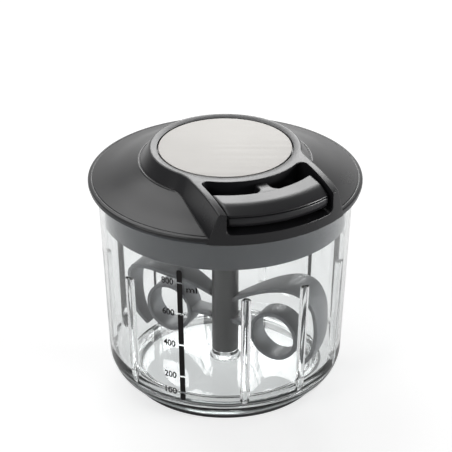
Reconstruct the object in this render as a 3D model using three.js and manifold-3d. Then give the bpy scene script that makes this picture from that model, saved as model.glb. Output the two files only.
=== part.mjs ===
// Pull cord food chopper: a clear bowl with a mixing insert, and a lid that holds a cord drum,
// its recoil spring and a grip in a pocket. Millimetres, +Z up, base centre at the origin,
// the grip pulls out along -Y. "Along" is the distance from the axis towards the grip.
import * as THREE from 'three';
import { mergeVertices } from 'three/addons/utils/BufferGeometryUtils.js';
import Module from 'manifold-3d';

const wasm = await Module();
wasm.setup();

// Clearances
const fitGap = 0.3; // between pieces that seat on each other
const runGap = 0.3; // round what turns or slides
const overrun = 3; // how far a cutter passes the face that it cuts

// Steps per turn of round shapes
const fineSteps = 60;
const midSteps = 36;
const smallSteps = 12;

// Bowl
const bowlRimR = 64.2;
const bowlRimZ = 108.8;
const bowlTaperDeg = 2.56;
const bowlWall = 2.2;
const rimRound = 0.7;
const bowlBaseZ = 2;
const bowlCornerR = 15;
const bowlInnerCornerR = 13;
const floorRise = 6.9; // from the underside to the floor
const floorThick = 2.5;
const bossR = 6.5;
const bossHeight = 4;
const bossFlare = 1;
const ribCount = 12;
const ribStartDeg = 15;
const scaleDeg = 315; // the place of the filling scale, where no rib stands
const ribR = 2.3;
const ribInset = 0.4;
const ribTopDrop = 32.8; // from the rim to a rib's top
const ribRise = 5.2; // from the floor to the foot of a rib

// Foot ring
const footInset = 14; // inside the rim's radius
const footWidth = 3.9;
const footHeight = 4.3;
const footEdge = 0.4;
const footRidge = 2.2; // bowl plastic inside the ring's groove

// Pivot pin
const pinR = 3;
const pinSunk = 3;
const pinStand = 14;
const pinTip = 1.2;

// Mixing insert
const hubR = 6.85;
const hubTopGap = 4; // under the lid's boss
const hubPinRoom = 1; // above the pin's tip
const socketDepth = 16;
const wingDeg = 36.3;
const wingInset = 10.6; // inside the rim's radius
const hookClear = 6.6; // over the floor
const hookHeight = 43.1;
const hookNearWidth = 3.6;
const hookFarWidth = 16;
const ribbonThick = 2.2;
const loopInset = 23; // from the wing's reach to the loop's centre
const loopRise = 15.3; // over the hook's tip
const loopR = 13.4;
const loopWall = 2.1;
const loopHalfWidth = 5.8;
const armHalfWidth = 4.6;
const armRise = 3; // over the loop's centre
const armThick = 2.6;

// Lid base with its collar
const collarPlay = 0.45; // to the bowl's wall at the collar's edge
const collarWall = 2;
const collarDepth = 17.2;
const flangeStandoff = 0.5; // over the bowl's rim
const lipSetback = 0.5; // inside the cover's edge
const lipThick = 1;
const shoulderPlay = 1.4; // inside the cover's edge wall
const plateDrop = 9.3; // below the flange
const plateThick = 2;
const bushBossR = 11;
const bushBossDrop = 6;
const sealWidth = 1.6;
const sealHeight = 0.7;

// Lid cover
const rimOverhang = 4.5; // past the bowl's rim
const coverEdgeHeight = 1.8;
const coverEdgeWall = 2.1;
const coverWall = 2.2;
const domeWall = 1.5;
const domeRise = 9.4;
const headLip = 2.2; // from the pocket's back up to the head's edge
const headSlope = 4.6; // how far its wall leans out
const headRise = 6.7;
const headWall = 2.4;
const housingFootWidth = 7.2; // beside the pocket, on the dome
const housingLipWidth = 3.3; // beside the pocket, at the top
const blendR = 18;
const topFlatInset = 7; // inside the pocket's back
const topDrop = 5;
const frontSkirtWall = 2.1;

// Grip pocket
const fingerGap = 9.3; // between the pocket's back and the grip
const pocketSideGap = 1.3; // beside the grip
const pocketDepth = 13.5;
const pocketWall = 2;
const pocketCornerR = 3;

// Steel disc and its recess
const discBand = 4.4; // width of the rim round the disc
const discThick = 0.6;
const discDip = 0.7; // rim of the recess below the head's edge
const recessDepth = 0.8; // below that rim

// Screws and their posts
const coverScrewR = 1.5;
const coverScrewHeadR = 2.8;
const coverScrewHeadH = 2;
const coverScrewLength = 11;
const coverPostR = 4;
const coverPostInset = 18.7; // inside the cover's edge
const coverPostDegs = [60, 120, 240, 300];
const driverSlotW = 0.7;

// Drum, its bush and washer
const bushWall = 1.9;
const bushFlangeR = 10;
const bushFlangeThick = 1;
const washerR = 10.5;
const washerThick = 0.8;
const sleeveR = 6;
const drumWeb = 2;
const chamberR = 16;
const chamberWall = 2.9;
const drumFlangeWidth = 3.6;
const drumFlangeThick = 1.2;
const plateLedge = 1;

// Recoil spring, its plate and arbor
const springWidth = 8;
const springStrip = 0.5;
const springTurns = 6;
const springPlateThick = 0.8;
const springPlateBoreR = 8;
const arborR = 4;
const arborFlangeR = 7;
const arborFlangeThick = 1.2;
const arborBossR = 8;
const arborScrewLength = 13;
const arborScrewHeadH = 1.8;

// Drive shaft
const hexAcross = 6.4;
const shaftHeadR = 4.9;
const shaftHeadThick = 0.8;
const shaftEngage = 14.5;

// Cord and eyelet
const cordR = 0.8;
const cordDepth = 7.5; // below the head's top
const windTurns = 3;
const windPitch = 2.05;
const leadBendInset = 5.4; // inside the pocket's back
const leadBendLength = 3;
const eyeletWall = 1.05;
const eyeletFlangeR = 3.4;
const eyeletFlangeThick = 1.2;
const knotR = 1.9;

// Grip
const gripSetback = 2.5; // inside the cover's edge
const gripDepth = 16.9;
const gripBulge = 0.4;
const gripEndInset = 39.5; // from the front's radius to the half width
const gripSink = 2.2; // below the head's top
const gripFlat = 6.2; // from the back edge to the crease
const gripUpperHeight = 3.55;
const gripFrontRise = 0.6;
const gripHeight = 8.8;
const gripWall = 2;
const gripFloor = 1.2;
const gripCorner = 1.6;
const stemHalfW = 3.2;
const stemUnder = 2.4; // below the cord
const stemFlareR = 4;
const gripScrewInset = 8.7; // inside the grip's end
const gripScrewR = 1.2;
const gripScrewHeadR = 2.5;
const gripScrewHeadH = 1.2;
const gripPostR = 3;
const gripScrewPad = 1.4;

// Outline shares
const domeShares = [[0, 0], [0.2, 0.14], [0.41, 0.32], [0.67, 0.61], [0.85, 0.81], [1, 1]];
const housingStationShares = [0.2, 0.4, 0.55, 0.7, 0.85, 1];
const topDropPowerShare = 2.5;
const wallSinkShare = 0.3; // how far the raised walls run on below the dome, of their height
// Each hook station: reach, height between hook low and high, near width, far width
const hookStationShares = [
  [0.09, 0.68, 1, 0.22],
  [0.29, 0.83, 1, 0.5],
  [0.49, 0.94, 0.95, 0.84],
  [0.69, 1, 0.9, 1],
  [0.85, 0.96, 0.85, 0.97],
  [0.96, 0.82, 0.83, 0.78],
  [1, 0.62, 0.83, 0.6],
  [1, 0.39, 0.8, 0.5],
  [0.95, 0.17, 0.65, 0.38],
  [0.86, 0, 0.4, 0.22],
];
const hookSteps = 26;

// Derived places, from the table upwards
const taper = THREE.MathUtils.degToRad(bowlTaperDeg);
const bowlOuterR = (z) => bowlRimR - (bowlRimZ - z) * Math.tan(taper);
const bowlInnerR = (z) => bowlOuterR(z) - bowlWall;
const floorTopZ = bowlBaseZ + floorRise;
const ribTopZ = bowlRimZ - ribTopDrop;
const footOuterR = bowlRimR - footInset;
const footInnerR = footOuterR - footWidth;
const bossTopZ = floorTopZ + bossHeight;
const pinTopZ = bossTopZ + pinStand;
const hubLowZ = bossTopZ + fitGap;
const hookLowZ = floorTopZ + hookClear;
const hookHighZ = hookLowZ + hookHeight;
const wingReach = bowlRimR - wingInset;
const loopCentreR = wingReach - loopInset;
const loopCentreZ = hookLowZ + loopRise;
const armTopZ = loopCentreZ + armRise;
const coverR = bowlRimR + rimOverhang;
const flangeR = coverR - lipSetback;
const shoulderR = coverR - coverEdgeWall - shoulderPlay;
const flangeLowZ = bowlRimZ + flangeStandoff;
const collarLowZ = flangeLowZ - collarDepth;
const collarR = bowlInnerR(collarLowZ) - collarPlay;
const plateLowZ = flangeLowZ - plateDrop;
const gripFrontR = coverR - gripSetback;
const gripBackR = gripFrontR - gripDepth;
const gripCreaseR = gripBackR + gripFlat;
const pocketArcR = gripBackR - fingerGap;
const gripHalfW = gripFrontR - gripEndInset;
const gripScrewW = gripHalfW - gripScrewInset;
const pocketHalfW = gripHalfW + pocketSideGap;
const housingBaseW = pocketHalfW + housingFootWidth;
const housingTopW = pocketHalfW + housingLipWidth;
const headTopR = pocketArcR - headLip;
const headBaseR = headTopR + headSlope;
const topFlatAlong = pocketArcR - topFlatInset;
const discR = headTopR - discBand;
const coverPostPlaceR = coverR - coverPostInset;
const leadBendAlong = pocketArcR - leadBendInset;
const lipTopZ = flangeLowZ + lipThick;
const plateTopZ = plateLowZ + plateThick;
const bushR = sleeveR + runGap + bushWall;
const bushBossLowZ = plateLowZ - bushBossDrop;
const hubTopZ = bushBossLowZ - hubTopGap;
const bushFlangeTopZ = plateTopZ + fitGap + bushFlangeThick;
const washerTopZ = bushFlangeTopZ + fitGap + washerThick;
const drumLowZ = washerTopZ + fitGap;
const chamberLowZ = drumLowZ + drumWeb;
const edgeLowZ = lipTopZ + fitGap;
const edgeTopZ = edgeLowZ + coverEdgeHeight;
const headBaseZ = edgeTopZ + domeRise;
const headTopZ = headBaseZ + headRise;
const cordZ = headTopZ - cordDepth;
const pocketFloorZ = headTopZ - pocketDepth;
const gripTopZ = headTopZ - gripSink;
const gripPartZ = gripTopZ - gripUpperHeight;
const gripLowZ = gripTopZ - gripHeight;
const stemLowZ = cordZ - stemUnder;
const drumCoreR = chamberR + chamberWall;
const drumFlangeR = drumCoreR + drumFlangeWidth;
const windTopZ = cordZ - 2 * cordR - fitGap;
const windLowZ = windTopZ - windTurns * windPitch;
const grooveLowZ = windLowZ - cordR - fitGap;
const grooveTopZ = cordZ + cordR + runGap;
const windR = drumCoreR + cordR + fitGap;
const springLowZ = chamberLowZ + 2 * fitGap;
const ledgeZ = springLowZ + springWidth + fitGap;
const shaftLowZ = hubTopZ - shaftEngage;
const recessRimZ = headTopZ - discDip;
const recessFloorZ = recessRimZ - recessDepth;
const recessR = discR + fitGap;
const headPlateLowZ = recessFloorZ - coverWall;
const arborTopZ = headPlateLowZ - coverWall - fitGap;
const arborLowZ = chamberLowZ + fitGap;
const eyeletBoreR = cordR + runGap + fitGap / 2;
const eyeletR = eyeletBoreR + eyeletWall;
const stemBackAlong = pocketArcR + fitGap;
const tongueAlong = gripBackR + gripWall;

/** Turns any closed geometry into a solid, with shared corners merged and faces outwards. */
function solid(geometry) {
  const bare = geometry.clone();
  bare.deleteAttribute('normal');
  bare.deleteAttribute('uv');
  const merged = mergeVertices(bare);
  const corners = merged.getAttribute('position');
  const index = merged.index.array;
  const points = [0, 1, 2].map(() => new THREE.Vector3());
  let triangles = [];
  let volume = 0;
  for (let i = 0; i < index.length; i += 3) {
    const [a, b, c] = [index[i], index[i + 1], index[i + 2]];
    if (a === b || b === c || c === a) continue;
    points.forEach((point, k) => point.fromBufferAttribute(corners, [a, b, c][k]));
    volume += points[0].dot(points[1].cross(points[2]));
    triangles.push(a, b, c);
  }
  if (volume < 0) triangles = triangles.reverse();
  const mesh = new wasm.Mesh({
    numProp: 3,
    vertProperties: new Float32Array(corners.array),
    triVerts: new Uint32Array(triangles),
  });
  return new wasm.Manifold(mesh);
}

/** Turns a solid back into a geometry that a mesh can show. */
function geometryOf(body) {
  const mesh = body.getMesh();
  const geometry = new THREE.BufferGeometry();
  geometry.setAttribute('position', new THREE.BufferAttribute(mesh.vertProperties, 3));
  geometry.setIndex(new THREE.BufferAttribute(mesh.triVerts, 1));
  geometry.computeVertexNormals();
  return geometry;
}

const joined = (bodies) => bodies.reduce((sum, body) => sum.add(body));
const polar = (radius, degrees) => {
  const angle = THREE.MathUtils.degToRad(degrees);
  return [radius * Math.sin(angle), -radius * Math.cos(angle)];
};

/** Lathe round Z of [radius, z] points that start and end on the axis, or go round a ring. */
function turned(points, steps = fineSteps) {
  const open = points[0][0] === 0 && points[points.length - 1][0] === 0;
  const outline = (open ? points : [...points, points[0]]).map(([r, z]) => new THREE.Vector2(r, z));
  return solid(new THREE.LatheGeometry(outline, steps).rotateX(Math.PI / 2));
}

/** Lathe round a line along Y at the cord's height, of [radius, along] points. */
function turnedAlong(points, steps = smallSteps) {
  const open = points[0][0] === 0;
  const outline = (open ? points : [...points, points[0]]).map(([r, s]) => new THREE.Vector2(r, -s));
  return solid(new THREE.LatheGeometry(outline, steps).translate(0, 0, cordZ));
}

const ring = (inner, outer, low, high, steps = fineSteps) =>
  turned([[inner, low], [outer, low], [outer, high], [inner, high]], steps);

const rod = (radius, low, high, steps = smallSteps) =>
  turned([[0, low], [radius, low], [radius, high], [0, high]], steps);

function block(halfX, nearAlong, farAlong, low, high) {
  const geometry = new THREE.BoxGeometry(2 * halfX, farAlong - nearAlong, high - low);
  return solid(geometry.translate(0, -(nearAlong + farAlong) / 2, (low + high) / 2));
}

function hexRod(across, low, high) {
  const cornerR = across / 2 / Math.cos(Math.PI / 6);
  return rod(cornerR, low, high, 6);
}

/** Extrudes a plan outline of [x, along] points upwards. */
function plate(points, low, high) {
  const shape = new THREE.Shape(points.map(([x, along]) => new THREE.Vector2(x, -along)));
  const geometry = new THREE.ExtrudeGeometry(shape, { depth: high - low, bevelEnabled: false });
  return solid(geometry.translate(0, 0, low));
}

/** Skins closed loops of equal counts, capped by strips between opposite points. */
function lofted(loops) {
  const count = loops[0].length;
  const corners = loops.flat().flatMap((point) => point.toArray());
  const index = [];
  const quad = (a, b, c, d) => index.push(a, b, c, a, c, d);
  for (let k = 0; k + 1 < loops.length; k += 1) {
    for (let i = 0; i < count; i += 1) {
      const next = (i + 1) % count;
      quad(k * count + i, k * count + next, (k + 1) * count + next, (k + 1) * count + i);
    }
  }
  const last = (loops.length - 1) * count;
  for (let i = 0; i + 1 < count / 2; i += 1) {
    quad(count - 1 - i, count - 2 - i, i + 1, i);
    quad(last + i, last + i + 1, last + count - 2 - i, last + count - 1 - i);
  }
  const geometry = new THREE.BufferGeometry();
  geometry.setAttribute('position', new THREE.Float32BufferAttribute(corners, 3));
  geometry.setIndex(index);
  return solid(geometry);
}

/** Points of an arc about [x, y], from one angle to another, in radians. */
function arc(x, y, radius, from, to, steps) {
  return Array.from({ length: steps + 1 }, (_, i) => {
    const angle = from + ((to - from) * i) / steps;
    return [x + radius * Math.cos(angle), y + radius * Math.sin(angle)];
  });
}

/** Fixing screw along Z: head below (or above) its seat, with a cross slot in the head. */
function screw(radius, headR, headH, length, seatZ, up) {
  const way = up ? 1 : -1;
  const outer = seatZ - way * headH;
  const [headLow, headHigh] = [Math.min(outer, seatZ), Math.max(outer, seatZ)];
  const tip = seatZ + way * length;
  const [shankLow, shankHigh] = [Math.min(seatZ, tip), Math.max(seatZ, tip)];
  const slotEnd = outer + (way * headH) / 2;
  const [slotLow, slotHigh] = [Math.min(slotEnd, outer - way * overrun), Math.max(slotEnd, outer - way * overrun)];
  const arm = headR * 0.6;
  const body = rod(headR, headLow, headHigh).add(rod(radius, shankLow, shankHigh));
  const slots = block(arm, -driverSlotW / 2, driverSlotW / 2, slotLow, slotHigh).add(
    block(driverSlotW / 2, -arm, arm, slotLow, slotHigh),
  );
  return body.subtract(slots);
}

// Bowl

function bowlRib(degrees) {
  const topZ = ribTopZ - ribR;
  const footZ = floorTopZ + ribRise;
  const centreR = (z) => bowlInnerR(z) - ribInset;
  const height = topZ - footZ;
  const lean = Math.atan2(centreR(topZ) - centreR(footZ), height);
  const column = new THREE.CylinderGeometry(ribR, ribR, height / Math.cos(lean), smallSteps);
  const cap = new THREE.SphereGeometry(ribR, smallSteps, smallSteps / 2);
  column.rotateX(Math.PI / 2).rotateX(lean);
  column.translate(0, -(centreR(topZ) + centreR(footZ)) / 2, (topZ + footZ) / 2);
  cap.rotateX(Math.PI / 2).translate(0, -centreR(topZ), topZ);
  return solid(column).add(solid(cap)).rotate([0, 0, degrees]);
}

function makeBowl() {
  const outerArcZ = bowlBaseZ + bowlCornerR;
  const innerArcZ = floorTopZ + bowlInnerCornerR;
  const outerArcR = bowlOuterR(outerArcZ) - bowlCornerR;
  const innerArcR = bowlInnerR(innerArcZ) - bowlInnerCornerR;
  const boreR = pinR + fitGap;
  const recessFootR = footInnerR - fitGap - footRidge;
  const rimLowZ = bowlRimZ - rimRound;
  const profile = [
    [0, bossTopZ - pinSunk - fitGap],
    [boreR, bossTopZ - pinSunk - fitGap],
    [boreR, bossTopZ],
    [bossR, bossTopZ],
    [bossR + bossFlare, floorTopZ],
    ...arc(innerArcR, innerArcZ, bowlInnerCornerR, -Math.PI / 2, -taper, 5),
    [bowlInnerR(rimLowZ), rimLowZ],
    ...arc(bowlInnerR(rimLowZ) + rimRound, rimLowZ, rimRound, Math.PI, Math.PI / 2, 1),
    ...arc(bowlOuterR(rimLowZ) - rimRound, rimLowZ, rimRound, Math.PI / 2, 0, 1),
    ...arc(outerArcR, outerArcZ, bowlCornerR, -taper, -Math.PI / 2, 6),
    [recessFootR, bowlBaseZ],
    [recessFootR, floorTopZ - floorThick],
    [0, floorTopZ - floorThick],
  ];
  const groove = ring(footInnerR - fitGap, footOuterR + fitGap, -overrun, footHeight + fitGap);
  const ribs = [];
  for (let i = 0; i < ribCount; i += 1) {
    const degrees = ribStartDeg + (i * 360) / ribCount;
    if (Math.abs(degrees - scaleDeg) > 1) ribs.push(bowlRib(degrees));
  }
  return joined([turned(profile), ...ribs]).subtract(groove);
}

function makeFootRing() {
  const profile = [
    [footInnerR, footEdge],
    [footInnerR + footEdge, 0],
    [footOuterR - footEdge, 0],
    [footOuterR, footEdge],
    [footOuterR, footHeight],
    [footInnerR, footHeight],
  ];
  return turned(profile);
}

function makePivotPin() {
  const profile = [
    [0, bossTopZ - pinSunk],
    [pinR, bossTopZ - pinSunk],
    [pinR, pinTopZ - pinTip],
    [pinR - pinTip, pinTopZ],
    [0, pinTopZ],
  ];
  return turned(profile, smallSteps);
}

// Mixing insert

/** One hook: a ribbon that leaves the hub, bends over and runs down beside the bowl's wall. */
function hookRibbon() {
  const spline = (columns) => new THREE.CatmullRomCurve3(
    hookStationShares.map((row) => new THREE.Vector3(...columns.map((k) => row[k]), 0)),
  );
  const path = spline([0, 1]);
  const widths = spline([2, 3]);
  const place = (t) => {
    const share = path.getPoint(t);
    return new THREE.Vector2(share.x * wingReach, THREE.MathUtils.lerp(hookLowZ, hookHighZ, share.y));
  };
  const loops = [];
  for (let i = 0; i <= hookSteps; i += 1) {
    const t = i / hookSteps;
    const half = 0.5 / hookSteps;
    const outer = place(t);
    const way = place(Math.min(t + half, 1)).sub(place(Math.max(t - half, 0))).normalize();
    const inner = new THREE.Vector2(way.y, -way.x).multiplyScalar(ribbonThick).add(outer);
    const width = widths.getPoint(t);
    const near = -width.x * hookNearWidth;
    const far = width.y * hookFarWidth;
    loops.push([
      new THREE.Vector3(near, -outer.x, outer.y),
      new THREE.Vector3(far, -outer.x, outer.y),
      new THREE.Vector3(far, -inner.x, inner.y),
      new THREE.Vector3(near, -inner.x, inner.y),
    ]);
  }
  return lofted(loops);
}

/** One ring loop, its axis level and square to the wing. */
function ringLoop() {
  const outline = [
    [loopR - loopWall, -loopHalfWidth],
    [loopR, -loopHalfWidth],
    [loopR, loopHalfWidth],
    [loopR - loopWall, loopHalfWidth],
  ];
  return turned(outline, midSteps).rotate([0, 90, 0]).translate([0, -loopCentreR, loopCentreZ]);
}

function makeMixingInsert() {
  const innerLoopR = loopCentreR - loopR + loopWall / 2;
  const arm = block(armHalfWidth, hubR / 2, innerLoopR, armTopZ - armThick, armTopZ);
  const wing = hookRibbon().add(ringLoop()).add(arm);
  const wings = [0, 180].map((turn) => wing.rotate([0, 0, wingDeg + turn]));
  const pinBore = rod(pinR + runGap, hubLowZ - overrun, pinTopZ + hubPinRoom);
  const socket = hexRod(hexAcross + 2 * fitGap, hubTopZ - socketDepth, hubTopZ + overrun);
  const hub = rod(hubR, hubLowZ, hubTopZ, midSteps);
  return joined([hub, ...wings]).subtract(pinBore).subtract(socket);
}

// Lid base

function makeLidBase() {
  const boreR = bushR + fitGap;
  const collarInnerR = collarR - collarWall;
  const shoulderTopZ = underDomeZ(shoulderR) - fitGap;
  const profile = [
    [boreR, bushBossLowZ],
    [bushBossR, bushBossLowZ],
    [bushBossR, plateLowZ],
    [collarInnerR, plateLowZ],
    [collarInnerR, collarLowZ],
    [collarR, collarLowZ],
    [collarR, flangeLowZ],
    [flangeR, flangeLowZ],
    [flangeR, lipTopZ],
    [shoulderR, lipTopZ],
    [shoulderR, shoulderTopZ],
    [collarInnerR, shoulderTopZ],
    [collarInnerR, plateTopZ],
    [boreR, plateTopZ],
  ];
  const sealGroove = ring(
    sealInnerR() - fitGap,
    sealInnerR() + sealWidth + fitGap,
    flangeLowZ - overrun,
    sealLowZ() + sealHeight + fitGap,
  );
  const lipNotch = block(housingBaseW + fitGap, 0, coverR + overrun, flangeLowZ - overrun, shoulderTopZ)
    .subtract(rod(shoulderR, flangeLowZ - 2 * overrun, shoulderTopZ + overrun, fineSteps));
  const holes = coverPostDegs.map((degrees) => atPost(
    rod(coverScrewR + fitGap, plateLowZ - overrun, plateTopZ + overrun),
    degrees,
  ));
  return joined([turned(profile).subtract(sealGroove).subtract(lipNotch)]).subtract(joined(holes));
}

const sealInnerR = () => bowlOuterR(bowlRimZ) - bowlWall / 2 - sealWidth / 2;
const sealLowZ = () => bowlRimZ + fitGap;
const atPost = (body, degrees) => body.translate([...polar(coverPostPlaceR, degrees), 0]);

const makeLidSeal = () => ring(
  sealInnerR(),
  sealInnerR() + sealWidth,
  sealLowZ(),
  sealLowZ() + sealHeight,
);

function makeDriveBush() {
  const bore = sleeveR + runGap;
  return turned([
    [bore, bushBossLowZ],
    [bushR, bushBossLowZ],
    [bushR, plateTopZ + fitGap],
    [bushFlangeR, plateTopZ + fitGap],
    [bushFlangeR, bushFlangeTopZ],
    [bore, bushFlangeTopZ],
  ], midSteps);
}

// Lid cover

/** Half plan outline of head and housing, from the back of the head to past the rim. */
function raisedHalf(headR, sideW) {
  const blendAlong = Math.sqrt((headR + blendR) ** 2 - (sideW + blendR) ** 2);
  const tangent = Math.atan2(sideW + blendR, blendAlong);
  const onHead = arc(0, 0, headR, Math.PI, tangent, 14).map(([along, x]) => [x, along]);
  const blend = arc(blendAlong, sideW + blendR, -blendR, tangent, Math.PI / 2, 6)
    .map(([along, x]) => [x, along]);
  const reach = coverR + overrun;
  const side = housingStationShares.map((share) => [sideW, THREE.MathUtils.lerp(blendAlong, reach, share)]);
  return [...onHead, ...blend.slice(1), ...side];
}

function loop(half, heights) {
  const right = half.map(([x, along], i) => new THREE.Vector3(x, -along, heights[i]));
  const left = right.map((point) => new THREE.Vector3(-point.x, point.y, point.z)).reverse();
  return [...right, ...left];
}

/** Height of the top of head and housing, which falls towards the rim. */
function raisedTopZ(along) {
  const share = Math.max(0, along - topFlatAlong) / (coverR - topFlatAlong);
  return headTopZ - topDrop * share ** topDropPowerShare;
}

/** Height of the dome at a radius, flat inside the head and past the rim. */
function domeZ(radius, edgeR = coverR) {
  const s = THREE.MathUtils.clamp((edgeR - radius) / (edgeR - headBaseR), 0, 1);
  const i = Math.max(1, domeShares.findIndex(([share]) => share >= s));
  const [[s0, t0], [s1, t1]] = [domeShares[i - 1], domeShares[i]];
  return edgeTopZ + domeRise * (t0 + ((t1 - t0) * (s - s0)) / (s1 - s0));
}

function domeBody(edgeR, low, drop) {
  const curve = domeShares.map(([s, t]) => [
    THREE.MathUtils.lerp(edgeR, headBaseR, s),
    edgeTopZ - drop + domeRise * t,
  ]);
  return turned([[0, low], [edgeR, low], ...curve, [0, headBaseZ - drop]]);
}

/** Height of the dome's underside at a radius. */
const underDomeZ = (radius) => domeZ(radius, coverR - coverEdgeWall) - domeWall;

/** Head and housing, with walls that run on below the dome's surface. */
function raisedBody() {
  const base = raisedHalf(headBaseR, housingBaseW);
  const top = raisedHalf(headTopR, housingTopW);
  const topHeights = top.map(([, along]) => raisedTopZ(along));
  const onward = (from, to) => to + (to - from) * wallSinkShare;
  const sunk = base.map(([x, along], i) => [onward(top[i][0], x), onward(top[i][1], along)]);
  const sunkHeights = base.map(([x, along], i) => onward(topHeights[i], domeZ(Math.hypot(x, along))));
  const lowest = sunk.map(() => edgeLowZ - coverEdgeHeight - topDrop);
  return lofted([loop(sunk, lowest), loop(sunk, sunkHeights), loop(top, topHeights)]);
}

/** Space or block of the pocket: outside an arc, between two side walls, above a floor. */
function pocketBody(arcR, halfW, floorZ, cornerR) {
  const cornerAlong = Math.sqrt((arcR + cornerR) ** 2 - (halfW - cornerR) ** 2);
  const lean = Math.atan2(halfW - cornerR, cornerAlong);
  const backArc = arc(0, 0, arcR, 0, lean, 8).map(([along, x]) => [x, along]);
  const corner = arc(cornerAlong, halfW - cornerR, cornerR, lean + Math.PI, Math.PI / 2, 4)
    .map(([along, x]) => [x, along]);
  const half = [...backArc, ...corner.slice(1), [halfW, coverR + overrun]];
  const mirrored = half.slice(1).map(([x, along]) => [-x, along]).reverse();
  const plan = plate([...half, ...mirrored], floorZ, headTopZ + overrun);
  const section = new THREE.Shape(
    [
      [-halfW, headTopZ + overrun],
      ...arc(-halfW + cornerR, floorZ + cornerR, cornerR, Math.PI, 1.5 * Math.PI, 4),
      ...arc(halfW - cornerR, floorZ + cornerR, cornerR, -Math.PI / 2, 0, 4),
      [halfW, headTopZ + overrun],
    ].map(([x, z]) => new THREE.Vector2(x, z)),
  );
  const bar = new THREE.ExtrudeGeometry(section, { depth: coverR + overrun, bevelEnabled: false });
  return plan.intersect(solid(bar.rotateX(Math.PI / 2)));
}

function makeLidCover() {
  const rimCylinder = rod(coverR, edgeLowZ, headTopZ + overrun, fineSteps);
  const outer = domeBody(coverR, edgeLowZ, 0).add(raisedBody()).intersect(rimCylinder);
  const underDome = domeBody(coverR - coverEdgeWall, edgeLowZ - overrun, domeWall);
  const underHead = turned([
    [0, edgeLowZ],
    [headBaseR - headWall, edgeLowZ],
    [headBaseR - headWall, headBaseZ - coverWall],
    [headTopR - headWall, headPlateLowZ],
    [0, headPlateLowZ],
  ]);
  const pocketWalls = pocketBody(
    pocketArcR - pocketWall,
    pocketHalfW + pocketWall,
    pocketFloorZ - pocketWall,
    pocketCornerR + pocketWall,
  ).intersect(outer);
  const frontSkirt = ring(coverR - frontSkirtWall, coverR, flangeLowZ, edgeTopZ)
    .intersect(block(housingBaseW, 0, coverR + overrun, flangeLowZ, edgeTopZ));
  const posts = coverPostDegs.map((degrees) => atPost(
    rod(coverPostR, plateTopZ + fitGap, headBaseZ),
    degrees,
  ).intersect(domeBody(coverR, plateLowZ, domeWall / 2)));
  const pilots = coverPostDegs.map((degrees) => atPost(
    rod(coverScrewR + fitGap, plateLowZ, plateLowZ + coverScrewLength + 2 * fitGap),
    degrees,
  ));
  const arborBoss = rod(arborBossR, arborTopZ + fitGap, recessFloorZ - coverWall / 2, midSteps);
  const recess = turned([
    [0, recessFloorZ],
    [recessR, recessFloorZ],
    [recessR, recessRimZ],
    [headTopR, headTopZ],
    [headTopR, headTopZ + overrun],
    [0, headTopZ + overrun],
  ]);
  const arborHole = rod(coverScrewR + fitGap, arborTopZ, headTopZ);
  const arborHead = rod(coverScrewHeadR + fitGap, arborSeatZ() - fitGap, headTopZ);
  const eyeletHole = turnedAlong([
    [0, pocketArcR - pocketWall - overrun],
    [eyeletFlangeR + fitGap, pocketArcR - pocketWall - overrun],
    [eyeletFlangeR + fitGap, pocketArcR - pocketWall],
    [eyeletR + fitGap, pocketArcR - pocketWall],
    [eyeletR + fitGap, pocketArcR + overrun],
    [0, pocketArcR + overrun],
  ]);
  const shell = outer.subtract(underDome).subtract(underHead);
  const pocket = pocketBody(pocketArcR, pocketHalfW, pocketFloorZ, pocketCornerR);
  return joined([shell, pocketWalls, frontSkirt, ...posts, arborBoss])
    .subtract(joined([pocket, recess, arborHole, arborHead, eyeletHole]))
    .subtract(joined(pilots));
}

const arborSeatZ = () => recessFloorZ - arborScrewHeadH;

const makeDiscPlate = () => rod(discR, recessFloorZ + fitGap, recessFloorZ + fitGap + discThick, fineSteps);

const makeCoverScrew = (degrees) => atPost(
  screw(coverScrewR, coverScrewHeadR, coverScrewHeadH, coverScrewLength, plateLowZ - fitGap, true),
  degrees,
);

const makeArborScrew = () =>
  screw(coverScrewR, coverScrewHeadR, arborScrewHeadH, arborScrewLength, arborSeatZ(), false);

function makeSpringArbor() {
  const body = turned([
    [0, arborLowZ],
    [arborR, arborLowZ],
    [arborR, arborTopZ - arborFlangeThick],
    [arborFlangeR, arborTopZ - arborFlangeThick],
    [arborFlangeR, arborTopZ],
    [0, arborTopZ],
  ], midSteps);
  const pilotLowZ = arborSeatZ() - arborScrewLength - fitGap;
  return body.subtract(rod(coverScrewR + fitGap, pilotLowZ, arborTopZ + overrun));
}

// Drum

function makeCordDrum() {
  const chamberLedgeR = chamberR + plateLedge;
  const topFlangeZ = grooveTopZ + drumFlangeThick;
  const body = turned([
    [0, bushBossLowZ + fitGap],
    [sleeveR, bushBossLowZ + fitGap],
    [sleeveR, drumLowZ],
    [drumCoreR, drumLowZ],
    [drumCoreR, grooveLowZ - drumFlangeThick],
    [drumFlangeR, grooveLowZ - drumFlangeThick],
    [drumFlangeR, grooveLowZ],
    [drumCoreR, grooveLowZ],
    [drumCoreR, grooveTopZ],
    [drumFlangeR, grooveTopZ],
    [drumFlangeR, topFlangeZ],
    [chamberLedgeR, topFlangeZ],
    [chamberLedgeR, ledgeZ],
    [chamberR, ledgeZ],
    [chamberR, chamberLowZ],
    [0, chamberLowZ],
  ], midSteps);
  const hexBore = hexRod(hexAcross + 2 * fitGap, bushBossLowZ - overrun, chamberLowZ + overrun);
  const headSeat = rod(shaftHeadR + fitGap, chamberLowZ - shaftHeadThick - fitGap, chamberLowZ + overrun);
  return body.subtract(hexBore).subtract(headSeat);
}

function makeDriveShaft() {
  const headLowZ = chamberLowZ - shaftHeadThick;
  return hexRod(hexAcross, shaftLowZ, headLowZ + shaftHeadThick / 2)
    .add(rod(shaftHeadR, headLowZ, chamberLowZ - fitGap / 2));
}

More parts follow.
